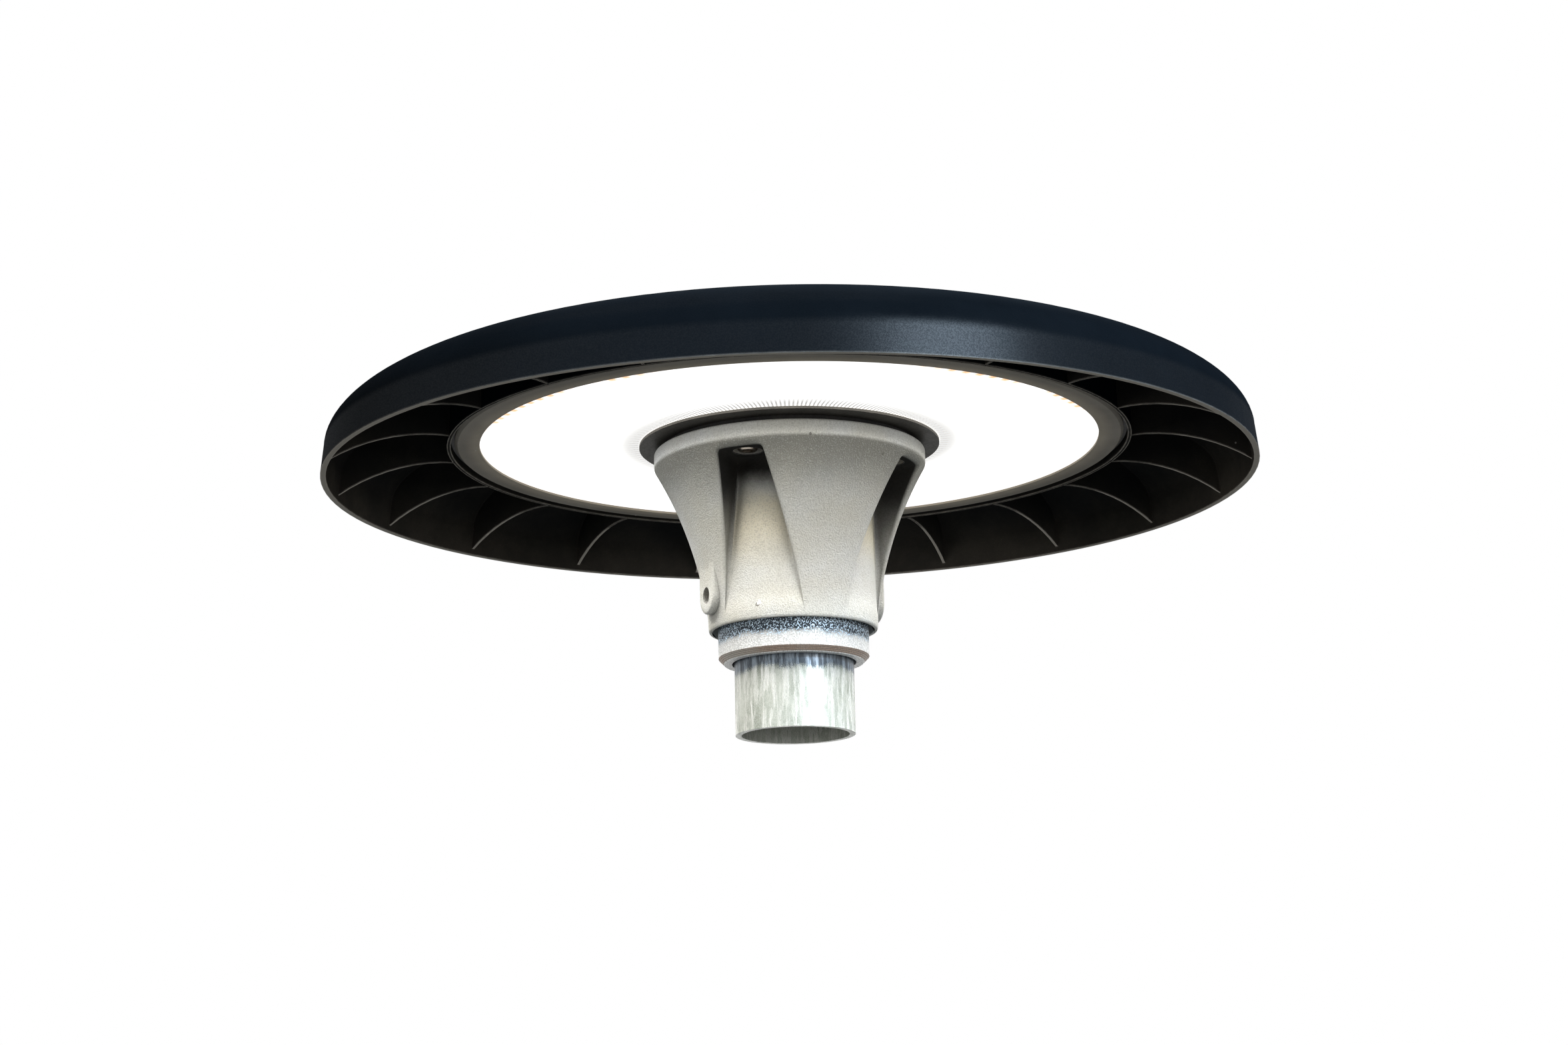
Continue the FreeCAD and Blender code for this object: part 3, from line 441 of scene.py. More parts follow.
def add_node(tree, kind, inputs=None, **settings):
    """One node, with its settings and its inputs given as numbers, colours or other nodes' outputs."""
    node = tree.nodes.new(kind)
    for name, setting in settings.items():
        setattr(node, name, setting)
    for name, given in (inputs or {}).items():
        feed(tree, node.inputs[name], given)
    return node


def maths(tree, operation, first, second=0.0):
    """One calculation with numbers."""
    return add_node(tree, "ShaderNodeMath", {0: first, 1: second}, operation=operation).outputs[0]


def times(tree, first, *others):
    """Product of numbers."""
    for factor in others:
        first = maths(tree, "MULTIPLY", first, factor)
    return first


def vectors(tree, operation, first, second=(0, 0, 0)):
    """One calculation with vectors; returns the outputs Vector and Value."""
    return add_node(tree, "ShaderNodeVectorMath", {0: first, 1: second}, operation=operation).outputs


def ramp(tree, value, low, high, to_low=0.0, to_high=1.0):
    """A value between two limits stretched to two others, with soft ends."""
    limits = {"Value": value, "From Min": low, "From Max": high, "To Min": to_low, "To Max": to_high}
    return add_node(tree, "ShaderNodeMapRange", limits, interpolation_type="SMOOTHSTEP").outputs["Result"]


def fade(tree, value, low, high):
    """1 up to the first limit, falling softly to 0 at the second."""
    return ramp(tree, value, low, high, 1.0, 0.0)


def by_mask(tree, mask, clear, covered):
    """A number that goes softly from one value to another as a mask goes from 0 to 1."""
    return ramp(tree, mask, 0.0, 1.0, clear, covered)


def shift(tree, value, reach):
    """A value round one half as a small shift to either side."""
    return times(tree, maths(tree, "SUBTRACT", value, 0.5), reach)


def opaque(colour):
    """Red, green and blue with full alpha; another node's output stays as it is."""
    return colour if isinstance(colour, bpy.types.NodeSocket) else (*colour, 1.0)


def tint(tree, mask, low, high):
    """One colour where the mask is 0 and another where it is 1."""
    colours = {0: mask, 6: opaque(low), 7: opaque(high)}
    return add_node(tree, "ShaderNodeMix", colours, data_type="RGBA").outputs[2]


def cover(tree, coat, mask, colour, strength=1.0):
    """A coat with a colour laid over it where the mask is, up to the given strength."""
    return tint(tree, times(tree, mask, strength), coat, colour)


def bump(tree, height, strength, depth):
    """A normal roughened by a height; the depth is in metres."""
    settings = {"Height": height, "Strength": strength, "Distance": depth}
    return add_node(tree, "ShaderNodeBump", settings).outputs[0]


def lamp_point(tree):
    """A point's place on the lamp, in metres."""
    return add_node(tree, "ShaderNodeTexCoord").outputs["Object"]


def true_normal(tree):
    """The direction that a face looks in."""
    return add_node(tree, "ShaderNodeNewGeometry").outputs["True Normal"]


def parts_of(tree, vector):
    """The three parts of a vector."""
    return add_node(tree, "ShaderNodeSeparateXYZ", {0: vector}).outputs


def openness(tree, distance, samples):
    """1 where nothing of the same piece is near, and less in its corners."""
    settings = {"samples": samples, "only_local": True}
    return add_node(tree, "ShaderNodeAmbientOcclusion", {"Distance": distance}, **settings).outputs["AO"]


def noise(tree, scale, detail=2.0, rough=0.5, vector=None):
    """Soft noise over the lamp, or over another vector."""
    settings = {"Vector": vector or lamp_point(tree), "Scale": scale, "Detail": detail, "Roughness": rough}
    return add_node(tree, "ShaderNodeTexNoise", settings).outputs[0]


def new_effect(name, inputs, outputs):
    """An empty effect group with number sockets; returns its tree, its inputs and its end node."""
    tree = bpy.data.node_groups.new(name, "ShaderNodeTree")
    for title, start in inputs:
        tree.interface.new_socket(title, in_out="INPUT", socket_type="NodeSocketFloat").default_value = start
    for title in outputs:
        tree.interface.new_socket(title, in_out="OUTPUT", socket_type="NodeSocketFloat")
    return tree, tree.nodes.new("NodeGroupInput").outputs, tree.nodes.new("NodeGroupOutput")


def use(tree, effect, **values):
    """Places an effect group and returns its outputs; names have underscores for spaces."""
    node = tree.nodes.new("ShaderNodeGroup")
    node.node_tree = effect
    set_inputs(tree, node, **values)
    return node.outputs


# Which way a face looks, as parts of its normal: sheltered faces look in or down
SHELTERED_FACING = (0.2, 0.6)
UNDERSIDE_FACING = (-0.6, -0.2)
WALL_FACING = (0.45, 0.85)

# Heights between which the neck's painted shade, partly grime, and its painted warm light grow or fade, in
# metres
WALL_SHADE_AND_GRIME = (0.070, 0.124)
CEILING_SHADE_AND_GRIME = (0.1150, 0.1285)
FLARE_SHADE = (0.106, 0.136)
WARM_LIGHT_START = (0.078, 0.102)
WARM_LIGHT_END = (0.108, 0.120)
UNDER_BAND = (BAND * MM, BAND_TOP * MM)
HOLLOWS_END = (CEILING + 0.3) * MM

# Depth of a hollow behind the lands, waver of the painted shade's edge, and reach of a corner's painted
# shade, in metres
HOLLOW_DEPTH = (0.0002, 0.0026)
SHADE_WAVER = 0.012
CORNER_REACH = 0.009

# Height of the streaks' noise against its width
STREAK_STRETCH = 0.14


def make_lamp_place():
    """Where a point lies: its distance from the axis, turn and height, and whether it faces in or down."""
    tree, _, out = new_effect("lamp_place", [], ["Radius", "Turn", "Height", "Sheltered", "Underside"])
    x, y, z = parts_of(tree, lamp_point(tree))
    normal_x, normal_y, normal_z = parts_of(tree, true_normal(tree))
    radius = maths(tree, "SQRT", maths(tree, "ADD", times(tree, x, x), times(tree, y, y)))
    turn = maths(tree, "DIVIDE", maths(tree, "ARCTAN2", y, x), FULL_TURN)
    along = maths(tree, "ADD", times(tree, normal_x, x), times(tree, normal_y, y))
    out_or_up = maths(tree, "ADD", maths(tree, "DIVIDE", along, radius), normal_z)
    set_inputs(tree, out, Radius=radius, Turn=turn, Height=z,
               Sheltered=fade(tree, out_or_up, *SHELTERED_FACING),
               Underside=fade(tree, normal_z, *UNDERSIDE_FACING))
    return tree


def make_coat_grain():
    """Orange peel of a sprayed coat: a fine height and a broad, slow change of tone."""
    tree, given, out = new_effect("coat_grain", [("Fineness", 900.0)], ["Height", "Tone"])
    peel = noise(tree, given["Fineness"], detail=2.5, rough=0.55)
    slow = noise(tree, 14.0, detail=4.0, rough=0.6)
    set_inputs(tree, out, Height=ramp(tree, peel, 0.3, 0.72), Tone=ramp(tree, slow, 0.3, 0.7))
    return tree


def make_edge_wear_and_highlight():
    """Mask of the outward edges, where a coat is thin and catches the light; inward corners stay clear."""
    tree, given, out = new_effect("edge_wear_and_highlight", [("Width", 0.001), ("Softness", 0.5)], ["Mask"])
    bevelled = add_node(tree, "ShaderNodeBevel", {"Radius": given["Width"]}, samples=6).outputs[0]
    nearness = vectors(tree, "DOT_PRODUCT", true_normal(tree), bevelled)["Value"]
    bend = maths(tree, "SUBTRACT", 1.0, nearness)
    limits = {"Value": bend, "From Min": 0.01, "From Max": given["Softness"]}
    bent = add_node(tree, "ShaderNodeMapRange", limits).outputs["Result"]
    outward = ramp(tree, openness(tree, distance=0.004, samples=4), 0.72, 0.92)
    broken = ramp(tree, noise(tree, 160.0, detail=3.0), 0.25, 0.75, 0.55, 1.0)
    set_inputs(tree, out, Mask=times(tree, bent, outward, broken))
    return tree


def make_settled_dust():
    """Mask of uneven dust, thicker where the noise is high."""
    tree, given, out = new_effect("settled_dust", [("Patch Scale", 22.0), ("Amount", 0.5)], ["Mask"])
    patch = ramp(tree, noise(tree, given["Patch Scale"], detail=6.0, rough=0.65), 0.35, 0.75)
    speck = ramp(tree, noise(tree, 1400.0, detail=1.0), 0.5, 0.8, 0.6, 1.0)
    set_inputs(tree, out, Mask=times(tree, patch, speck, given["Amount"]))
    return tree


def make_paint_specks():
    """Mask of a few small round specks."""
    tree, given, out = new_effect("paint_specks", [("Density", 60.0), ("Size", 0.08)], ["Mask"])
    cells = {"Vector": lamp_point(tree), "Scale": given["Density"]}
    cell = add_node(tree, "ShaderNodeTexVoronoi", cells).outputs
    dot = maths(tree, "LESS_THAN", cell["Distance"], given["Size"])
    chance = add_node(tree, "ShaderNodeSeparateColor", {0: cell["Color"]}).outputs[0]
    set_inputs(tree, out, Mask=times(tree, dot, maths(tree, "GREATER_THAN", chance, 0.62)))
    return tree


def make_hollow_shade_and_grime():
    """Masks on the neck: painted shade and grime deep in its hollows, painted shade up its flare and in its
    corners, and painted warm light in its hollows.
    """
    tree, _, out = new_effect("hollow_shade_and_grime", [], ["Deep", "Thin", "Corner", "Warm"])
    where = use(tree, LAMP_PLACE)
    height = where["Height"]
    rise = maths(tree, "SUBTRACT", height, FLARE_CENTRE[1] * MM)
    reach_squared = maths(tree, "SUBTRACT", (FLARE_RADIUS * MM) ** 2, times(tree, rise, rise))
    land = maths(tree, "SUBTRACT", FLARE_CENTRE[0] * MM, maths(tree, "SQRT", reach_squared))
    inward = ramp(tree, maths(tree, "SUBTRACT", land, where["Radius"]), *HOLLOW_DEPTH)
    in_hollow = times(tree, inward, maths(tree, "LESS_THAN", height, HOLLOWS_END))
    level = maths(tree, "ADD", height, shift(tree, noise(tree, 55.0, detail=4.0), SHADE_WAVER))

    across = vectors(tree, "CROSS_PRODUCT", lamp_point(tree), (0, 0, 1))["Vector"]
    across = vectors(tree, "NORMALIZE", across)["Vector"]
    facing = vectors(tree, "DOT_PRODUCT", true_normal(tree), across)["Value"]
    wall = ramp(tree, maths(tree, "ABSOLUTE", facing), *WALL_FACING)
    # Painted shade, partly grime, on the hollows' upper walls and under their ceilings
    on_wall = times(tree, wall, ramp(tree, level, *WALL_SHADE_AND_GRIME))
    deep = times(tree, in_hollow, maths(tree, "MAXIMUM", on_wall, ramp(tree, level, *CEILING_SHADE_AND_GRIME)))

    # Painted warm light in the middle of the hollows, off their walls
    tinge = times(tree, ramp(tree, level, *WARM_LIGHT_START), fade(tree, level, *WARM_LIGHT_END))
    warm = times(tree, in_hollow, fade(tree, wall, 0.0, 1.0), tinge)
    # Painted shade on the lands up the flare, under the band
    on_land = times(tree, fade(tree, height, *UNDER_BAND), by_mask(tree, inward, 1.0, 0.15))
    upper_shade = times(tree, on_land, ramp(tree, level, *FLARE_SHADE))
    # Painted shade in the corners
    corner = fade(tree, openness(tree, distance=CORNER_REACH, samples=6), 0.42, 0.88)
    set_inputs(tree, out, Deep=deep, Thin=upper_shade, Corner=corner, Warm=warm)
    return tree


def make_zinc_bloom():
    """Zinc skin: slow clouds of tone, sparkling grains and fine vertical streaks."""
    tree, given, out = new_effect("zinc_bloom", [("Grain", 1300.0)], ["Tone", "Sparkle", "Streaks"])
    drawn_out = {"Vector": lamp_point(tree), "Scale": (1.0, 1.0, STREAK_STRETCH)}
    upright = add_node(tree, "ShaderNodeMapping", drawn_out).outputs[0]
    clouds = noise(tree, 75.0, detail=5.0, rough=0.65)
    grains = noise(tree, given["Grain"], rough=0.6)
    lines = noise(tree, 400.0, detail=4.0, rough=0.68, vector=upright)
    set_inputs(tree, out, Tone=ramp(tree, clouds, 0.32, 0.70), Sparkle=ramp(tree, grains, 0.40, 0.64),
               Streaks=ramp(tree, lines, 0.43, 0.62))
    return tree


LAMP_PLACE = make_lamp_place()
COAT_GRAIN = make_coat_grain()
EDGE_WEAR_AND_HIGHLIGHT = make_edge_wear_and_highlight()
SETTLED_DUST = make_settled_dust()
PAINT_SPECKS = make_paint_specks()
HOLLOW_SHADE_AND_GRIME = make_hollow_shade_and_grime()
ZINC_BLOOM = make_zinc_bloom()

# Heights between which the finishes change, in metres; the bands under the neck and the sleeve are painted
# shadow
POST_SHADOW = (0.0285, 0.0310)
SLEEVE_BEVEL = (0.0390, 0.0396)
SLEEVE_SHADOW = (0.0448, 0.0470)
RIM_LIP = (0.1220, 0.1228)
CANOPY_INSIDE = (0.128, 0.160)
SKIRT_SHINE = (0.1435, 0.1475)
RIB_FACES = (0.1465, 0.1480)
CROWN = (0.158, 0.176)

# Radii between or beyond which the finishes change, in metres
SLEEVE_OUTSIDE = 0.0355
PRISM_LINES = (0.0800, 0.0915)
PLATE_TO_BEZEL = (0.100, 0.150)
BEZEL_GLOW = (0.1585, 0.1665)
RING_OUTSIDE = 0.1768

# Pitch of the turned grooves on the sleeve's bevel, in metres
TURNING_PITCH = 0.0007

# How far the clouds and the grains of the zinc shift the edge of a band of painted shadow, in metres
BAND_CLOUDS = 0.0026
BAND_GRAINS = 0.0022

# Paint chip on the neck and its shadowed lower edge, in millimetres
CHIP = (-0.3, -43.4, 60.4)
CHIP_SHADOW = (-1.0, -43.3, 59.6)

# Edge of the chip, from its middle, and how ragged it is, in metres
CHIP_EDGE = (0.0012, 0.0016)
CHIP_RAGGED = 0.0024

# Where the light sources glint, in shares of a full turn from the front
FRONT_TURN = 0.188
GLINT_START = (0.05, 0.09)
GLINT_END = (0.18, 0.23)

# Line near the light guide's edge that the glints follow, in metres
GLINT_RADIUS = 0.1568
GLINT_SWAY = 0.0057
GLINT_WIDTH = (-0.0020, 0.0002)

# Size of a glint, in shares of the spacing of the light sources
GLINT_SPOT = (0.08, 0.45)

# Inner pieces: change of roughness with the grain, and how much lighter the edges are
GRAIN_ROUGHNESS = 0.06
EDGE_LIFT = 1.4


def node_of(tree, kind):
    """The node of a kind that a new material comes with."""
    return next(node for node in tree.nodes if node.type == kind)


def new_finish(name):
    """A new material; returns the material, its node tree and its shader."""
    material = bpy.data.materials.new(name)
    material.use_nodes = True
    return material, material.node_tree, node_of(material.node_tree, "BSDF_PRINCIPLED")


def satin_black_coat():
    """Canopy: navy-black coat, satin on the skirt and dull above it, darker than the paint below its crown as
    painted shade; pale edges and rib faces, partly wear and dust, partly painted highlight; and warm dust
    inside.
    """
    material, tree, shader = new_finish("satin_black_coat")
    grain = use(tree, COAT_GRAIN, Fineness=1500.0)
    edge = use(tree, EDGE_WEAR_AND_HIGHLIGHT, Width=0.0016, Softness=0.22)["Mask"]
    dust = use(tree, SETTLED_DUST, Patch_Scale=18.0, Amount=0.9)["Mask"]
    specks = use(tree, PAINT_SPECKS, Density=55.0, Size=0.035)["Mask"]
    where = use(tree, LAMP_PLACE)
    height, sheltered, underside = where["Height"], where["Sheltered"], where["Underside"]
    crown = times(tree, ramp(tree, height, *CROWN), fade(tree, sheltered, 0.0, 1.0))
    inside = times(tree, ramp(tree, height, *CANOPY_INSIDE, 1.0, 0.35), sheltered)
    turned_away = maths(tree, "MAXIMUM", sheltered, underside)
    rib_face = times(tree, ramp(tree, underside, 0.8, 1.0), fade(tree, height, *RIB_FACES),
                     maths(tree, "GREATER_THAN", where["Radius"], RING_OUTSIDE))
    lip = times(tree, underside, fade(tree, height, *RIM_LIP))
    # Below the crown the coat is darker than the paint, as painted shade; the crown keeps the paint's paler
    # tone
    coat = tint(tree, grain["Tone"], (0.0028, 0.0044, 0.0062), (0.0042, 0.0062, 0.0086))
    coat = cover(tree, coat, crown, (0.0110, 0.0142, 0.0180))
    coat = cover(tree, coat, times(tree, crown, dust), (0.060, 0.060, 0.056), strength=0.25)
    coat = cover(tree, coat, inside, (0.038, 0.034, 0.029), strength=0.75)
    coat = cover(tree, coat, times(tree, dust, inside), (0.075, 0.065, 0.052))
    coat = cover(tree, coat, times(tree, specks, inside), (0.30, 0.29, 0.27))
    # Pale outward edges: a thin, worn coat with a painted highlight
    coat = cover(tree, coat, edge, (0.45, 0.415, 0.365), strength=by_mask(tree, turned_away, 0.3, 1.0))
    # Pale lower faces of the ribs: partly dust, partly painted light
    coat = cover(tree, coat, rib_face, (0.44, 0.405, 0.355), strength=0.8)
    coat = cover(tree, coat, lip, (0.33, 0.29, 0.235), strength=0.9)
    slant = add_node(tree, "ShaderNodeLayerWeight", {"Blend": 0.5}).outputs["Facing"]
    lacquer = times(tree, ramp(tree, height, *SKIRT_SHINE, 0.17, 0.035),
                    by_mask(tree, grain["Height"], 0.72, 1.28),
                    ramp(tree, slant, 0.15, 0.7, 1.0, 0.3),
                    by_mask(tree, sheltered, 1.0, 0.1))
    set_inputs(tree, shader, Base_Color=coat, Roughness=by_mask(tree, grain["Height"], 0.5, 0.6),
               Normal=bump(tree, grain["Height"], strength=0.2, depth=0.00006),
               Specular_IOR_Level=0.0, Coat_Weight=lacquer, Coat_Roughness=0.3)
    return material


def chip_mask(tree, centre):
    """Mask of one small ragged chip round a point on the neck."""
    gap = vectors(tree, "DISTANCE", lamp_point(tree), [part * MM for part in centre])["Value"]
    ragged = shift(tree, noise(tree, 700.0), CHIP_RAGGED)
    return fade(tree, maths(tree, "ADD", gap, ragged), *CHIP_EDGE)


def pale_grey_coat():
    """Neck: pale warm grey coat with orange peel and its painted shade and highlight, painted shade and grime
    in its hollows, painted shade up its flare and in its corners, painted warm light in its hollows, a few
    specks and one chip.
    """
    material, tree, shader = new_finish("pale_grey_coat")
    grain = use(tree, COAT_GRAIN, Fineness=1350.0)
    edge = use(tree, EDGE_WEAR_AND_HIGHLIGHT, Width=0.0012, Softness=0.6)["Mask"]
    specks = use(tree, PAINT_SPECKS, Density=48.0, Size=0.045)["Mask"]
    dust = use(tree, SETTLED_DUST, Patch_Scale=35.0, Amount=0.28)["Mask"]
    shade_and_grime = use(tree, HOLLOW_SHADE_AND_GRIME)
    open_face = maths(tree, "SUBTRACT", 1.0, shade_and_grime["Deep"])
    pit_shade = fade(tree, grain["Height"], 0.0, 0.45)
    peak_highlight = ramp(tree, grain["Height"], 0.55, 1.0)
    coat = tint(tree, grain["Tone"], (0.560, 0.546, 0.480), (0.628, 0.640, 0.634))
    # Painted warm light in the hollows
    coat = cover(tree, coat, shade_and_grime["Warm"], (0.84, 0.765, 0.575), strength=0.8)
    # Painted shade up the flare
    coat = cover(tree, coat, shade_and_grime["Thin"], (0.225, 0.222, 0.190), strength=0.86)
    # Painted shade in the orange peel's pits and a painted highlight on its peaks
    coat = cover(tree, coat, pit_shade, (0.30, 0.29, 0.26), strength=0.32)
    coat = cover(tree, coat, peak_highlight, (0.82, 0.81, 0.77), strength=0.24)
    # Painted shade, partly grime, deep in the hollows
    coat = cover(tree, coat, shade_and_grime["Deep"], (0.010, 0.009, 0.008), strength=0.96)
    # Painted shade in the corners
    coat = cover(tree, coat, shade_and_grime["Corner"], (0.060, 0.056, 0.047), strength=0.75)
    coat = cover(tree, coat, dust, (0.40, 0.375, 0.32), strength=open_face)
    # Lighter outward edges: a thin, worn coat with a painted highlight
    coat = cover(tree, coat, edge, (0.72, 0.715, 0.69), strength=0.5)
    coat = cover(tree, coat, specks, (0.16, 0.15, 0.135), strength=0.8)
    coat = cover(tree, coat, chip_mask(tree, CHIP_SHADOW), (0.20, 0.185, 0.16))
    coat = cover(tree, coat, chip_mask(tree, CHIP), (0.80, 0.79, 0.76))
    set_inputs(tree, shader, Base_Color=coat, Roughness=by_mask(tree, grain["Height"], 0.52, 0.66),
               Normal=bump(tree, grain["Height"], strength=0.7, depth=0.0002),
               Specular_IOR_Level=0.0, Coat_Weight=times(tree, open_face, 0.22), Coat_Roughness=0.4)
    return material


def dark_grey_coat():
    """Bezel and centre plate: dark warm grey coat with dust, pale specks and a painted warm glow at the
    bezel's inner edge.
    """
    material, tree, shader = new_finish("dark_grey_coat")
    grain = use(tree, COAT_GRAIN, Fineness=1200.0)
    edge = use(tree, EDGE_WEAR_AND_HIGHLIGHT, Width=0.0008, Softness=0.5)["Mask"]
    dust = use(tree, SETTLED_DUST, Patch_Scale=30.0, Amount=0.5)["Mask"]
    specks = use(tree, PAINT_SPECKS, Density=90.0, Size=0.04)["Mask"]
    radius = use(tree, LAMP_PLACE)["Radius"]
    on_bezel = ramp(tree, radius, *PLATE_TO_BEZEL)
    plate = tint(tree, grain["Tone"], (0.052, 0.049, 0.044), (0.078, 0.073, 0.066))
    bezel = tint(tree, grain["Tone"], (0.205, 0.186, 0.158), (0.275, 0.250, 0.215))
    # Painted warm glow of the optic on the bezel's inner edge
    bezel = cover(tree, bezel, fade(tree, radius, *BEZEL_GLOW), (0.47, 0.405, 0.315), strength=0.65)
    coat = tint(tree, on_bezel, plate, bezel)
    coat = cover(tree, coat, dust, (0.20, 0.185, 0.16))
    # Lighter outward edges: a thin, worn coat with a painted highlight
    coat = cover(tree, coat, edge, (0.42, 0.40, 0.36), strength=by_mask(tree, on_bezel, 0.05, 0.5))
    coat = cover(tree, coat, specks, (0.60, 0.58, 0.54))
    gloss = times(tree, by_mask(tree, on_bezel, 0.26, 0.10), by_mask(tree, grain["Height"], 0.7, 1.3))
    set_inputs(tree, shader, Base_Color=coat, Roughness=by_mask(tree, grain["Height"], 0.42, 0.56),
               Normal=bump(tree, grain["Height"], strength=0.3, depth=0.0001),
               Specular_IOR_Level=0.0, Coat_Weight=gloss, Coat_Roughness=0.4)
    return material


def shadow_band(tree, zinc, height, limits):
    """Mask of a dark band of painted shadow under an overhang, with a ragged lower edge."""
    clouds = shift(tree, zinc["Tone"], BAND_CLOUDS)
    grains = shift(tree, zinc["Sparkle"], BAND_GRAINS)
    level = maths(tree, "ADD", height, maths(tree, "ADD", clouds, grains))
    return ramp(tree, level, *limits)


def rough_zinc():
    """Sleeve: rough sparkling zinc with a painted shadow under the neck, speckled there with painted glints,
    and a turned, browned bevel at its lower end.
    """
    material, tree, shader = new_finish("rough_zinc")
    zinc = use(tree, ZINC_BLOOM, Grain=1300.0)
    where = use(tree, LAMP_PLACE)
    bright = tint(tree, zinc["Sparkle"], (0.50, 0.50, 0.485), (0.78, 0.78, 0.765))
    # Painted shadow under the neck, speckled with painted bluish glints
    dark = tint(tree, ramp(tree, zinc["Sparkle"], 0.3, 1.0), (0.014, 0.021, 0.030), (0.62, 0.76, 0.87))
    metal = tint(tree, shadow_band(tree, zinc, where["Height"], SLEEVE_SHADOW), bright, dark)
    groove = maths(tree, "SINE", times(tree, where["Height"], FULL_TURN / TURNING_PITCH))
    ridge = ramp(tree, groove, -1.0, 1.0)
    brown = tint(tree, ridge, (0.10, 0.060, 0.036), (0.34, 0.205, 0.118))
    tan = tint(tree, ridge, (0.16, 0.145, 0.115), (0.44, 0.40, 0.335))
    tinge = tint(tree, ramp(tree, noise(tree, 22.0), 0.33, 0.50), tan, brown)
    bevel = times(tree, fade(tree, where["Height"], *SLEEVE_BEVEL),
                  maths(tree, "GREATER_THAN", where["Radius"], SLEEVE_OUTSIDE))
    metal = cover(tree, metal, bevel, tinge, strength=0.85)
    bare = times(tree, zinc["Sparkle"], by_mask(tree, bevel, 0.5, 0.1))
    set_inputs(tree, shader, Base_Color=metal, Roughness=by_mask(tree, zinc["Sparkle"], 0.55, 0.38),
               Metallic=ramp(tree, bare, 0.0, 0.5, 0.10, 0.50),
               Normal=bump(tree, zinc["Sparkle"], strength=0.5, depth=0.0002))
    return material


def streaked_zinc():
    """Post: bright zinc with fine vertical streaks, and a painted shadow just under the sleeve."""
    material, tree, shader = new_finish("streaked_zinc")
    zinc = use(tree, ZINC_BLOOM, Grain=3000.0)
    height = use(tree, LAMP_PLACE)["Height"]
    grey = tint(tree, zinc["Tone"], (0.22, 0.238, 0.185), (0.46, 0.478, 0.415))
    metal = tint(tree, zinc["Streaks"], grey, (0.66, 0.66, 0.605))
    metal = cover(tree, metal, zinc["Sparkle"], (0.86, 0.86, 0.83), strength=0.30)
    # Painted shadow of the sleeve, just under it
    dark = tint(tree, zinc["Streaks"], (0.050, 0.062, 0.076), (0.22, 0.265, 0.31))
    metal = tint(tree, shadow_band(tree, zinc, height, POST_SHADOW), metal, dark)
    set_inputs(tree, shader, Base_Color=metal, Roughness=by_mask(tree, zinc["Streaks"], 0.42, 0.26),
               Metallic=by_mask(tree, zinc["Tone"], 0.20, 0.45),
               Normal=bump(tree, zinc["Streaks"], strength=0.2, depth=0.00015))
    return material


def glint_mask(tree, where):
    """Mask of the light sources' glints, along a line near the guide's edge at both sides of the front."""
    source = maths(tree, "FRACT", times(tree, where["Turn"], LED_COUNT))
    spot = fade(tree, maths(tree, "ABSOLUTE", maths(tree, "SUBTRACT", source, 0.5)), *GLINT_SPOT)
    side = maths(tree, "ADD", where["Turn"], FRONT_TURN)
    sway = times(tree, GLINT_SWAY, maths(tree, "COSINE", times(tree, side, FULL_TURN)))
    line = maths(tree, "SUBTRACT", GLINT_RADIUS, sway)
    near_line = ramp(tree, maths(tree, "SUBTRACT", where["Radius"], line), *GLINT_WIDTH)
    away = maths(tree, "ABSOLUTE", side)
    uneven = ramp(tree, noise(tree, 28.0), 0.36, 0.52)
    return times(tree, spot, near_line, uneven, ramp(tree, away, *GLINT_START), fade(tree, away, *GLINT_END))


def lit_prism_sheet():
    """Light guide: lit evenly, with fine dark lines between the prisms and warm glints near its edge."""
    material, tree, shader = new_finish("lit_prism_sheet")
    grain = use(tree, COAT_GRAIN, Fineness=600.0)
    where = use(tree, LAMP_PLACE)
    wave = maths(tree, "COSINE", times(tree, where["Turn"], FULL_TURN * PRISM_COUNT))
    line = times(tree, ramp(tree, wave, -0.4, 0.6), fade(tree, where["Radius"], *PRISM_LINES))
    glint = glint_mask(tree, where)
    light = tint(tree, line, (1.0, 0.99, 0.97), (0.48, 0.476, 0.470))
    light = cover(tree, light, glint, (0.95, 0.48, 0.18))
    sheet = tint(tree, grain["Tone"], (0.55, 0.55, 0.54), (0.60, 0.60, 0.59))
    sheet = cover(tree, sheet, maths(tree, "MAXIMUM", line, glint), (0.20, 0.19, 0.18))
    set_inputs(tree, shader, Base_Color=sheet, Roughness=by_mask(tree, grain["Height"], 0.25, 0.35),
               Emission_Color=light, Emission_Strength=1.0)
    return material


def machined_steel():
    """Screws: stainless with a brown film of dust and brighter edges."""
    material, tree, shader = new_finish("machined_steel")
    grain = use(tree, COAT_GRAIN, Fineness=2600.0)
    dust = use(tree, SETTLED_DUST, Patch_Scale=300.0, Amount=0.45)["Mask"]
    edge = use(tree, EDGE_WEAR_AND_HIGHLIGHT, Width=0.0005, Softness=0.6)["Mask"]
    metal = tint(tree, grain["Tone"], (0.42, 0.375, 0.315), (0.56, 0.505, 0.43))
    metal = cover(tree, metal, dust, (0.12, 0.085, 0.055))
    # Brighter edges: worn, with a painted highlight
    metal = cover(tree, metal, edge, (0.72, 0.70, 0.67), strength=0.5)
    set_inputs(tree, shader, Base_Color=metal, Roughness=ramp(tree, dust, 0.0, 0.7, 0.30, 0.6),
               Metallic=ramp(tree, dust, 0.0, 0.7, 1.0, 0.4),
               Normal=bump(tree, grain["Height"], strength=0.15, depth=0.00005))
    return material


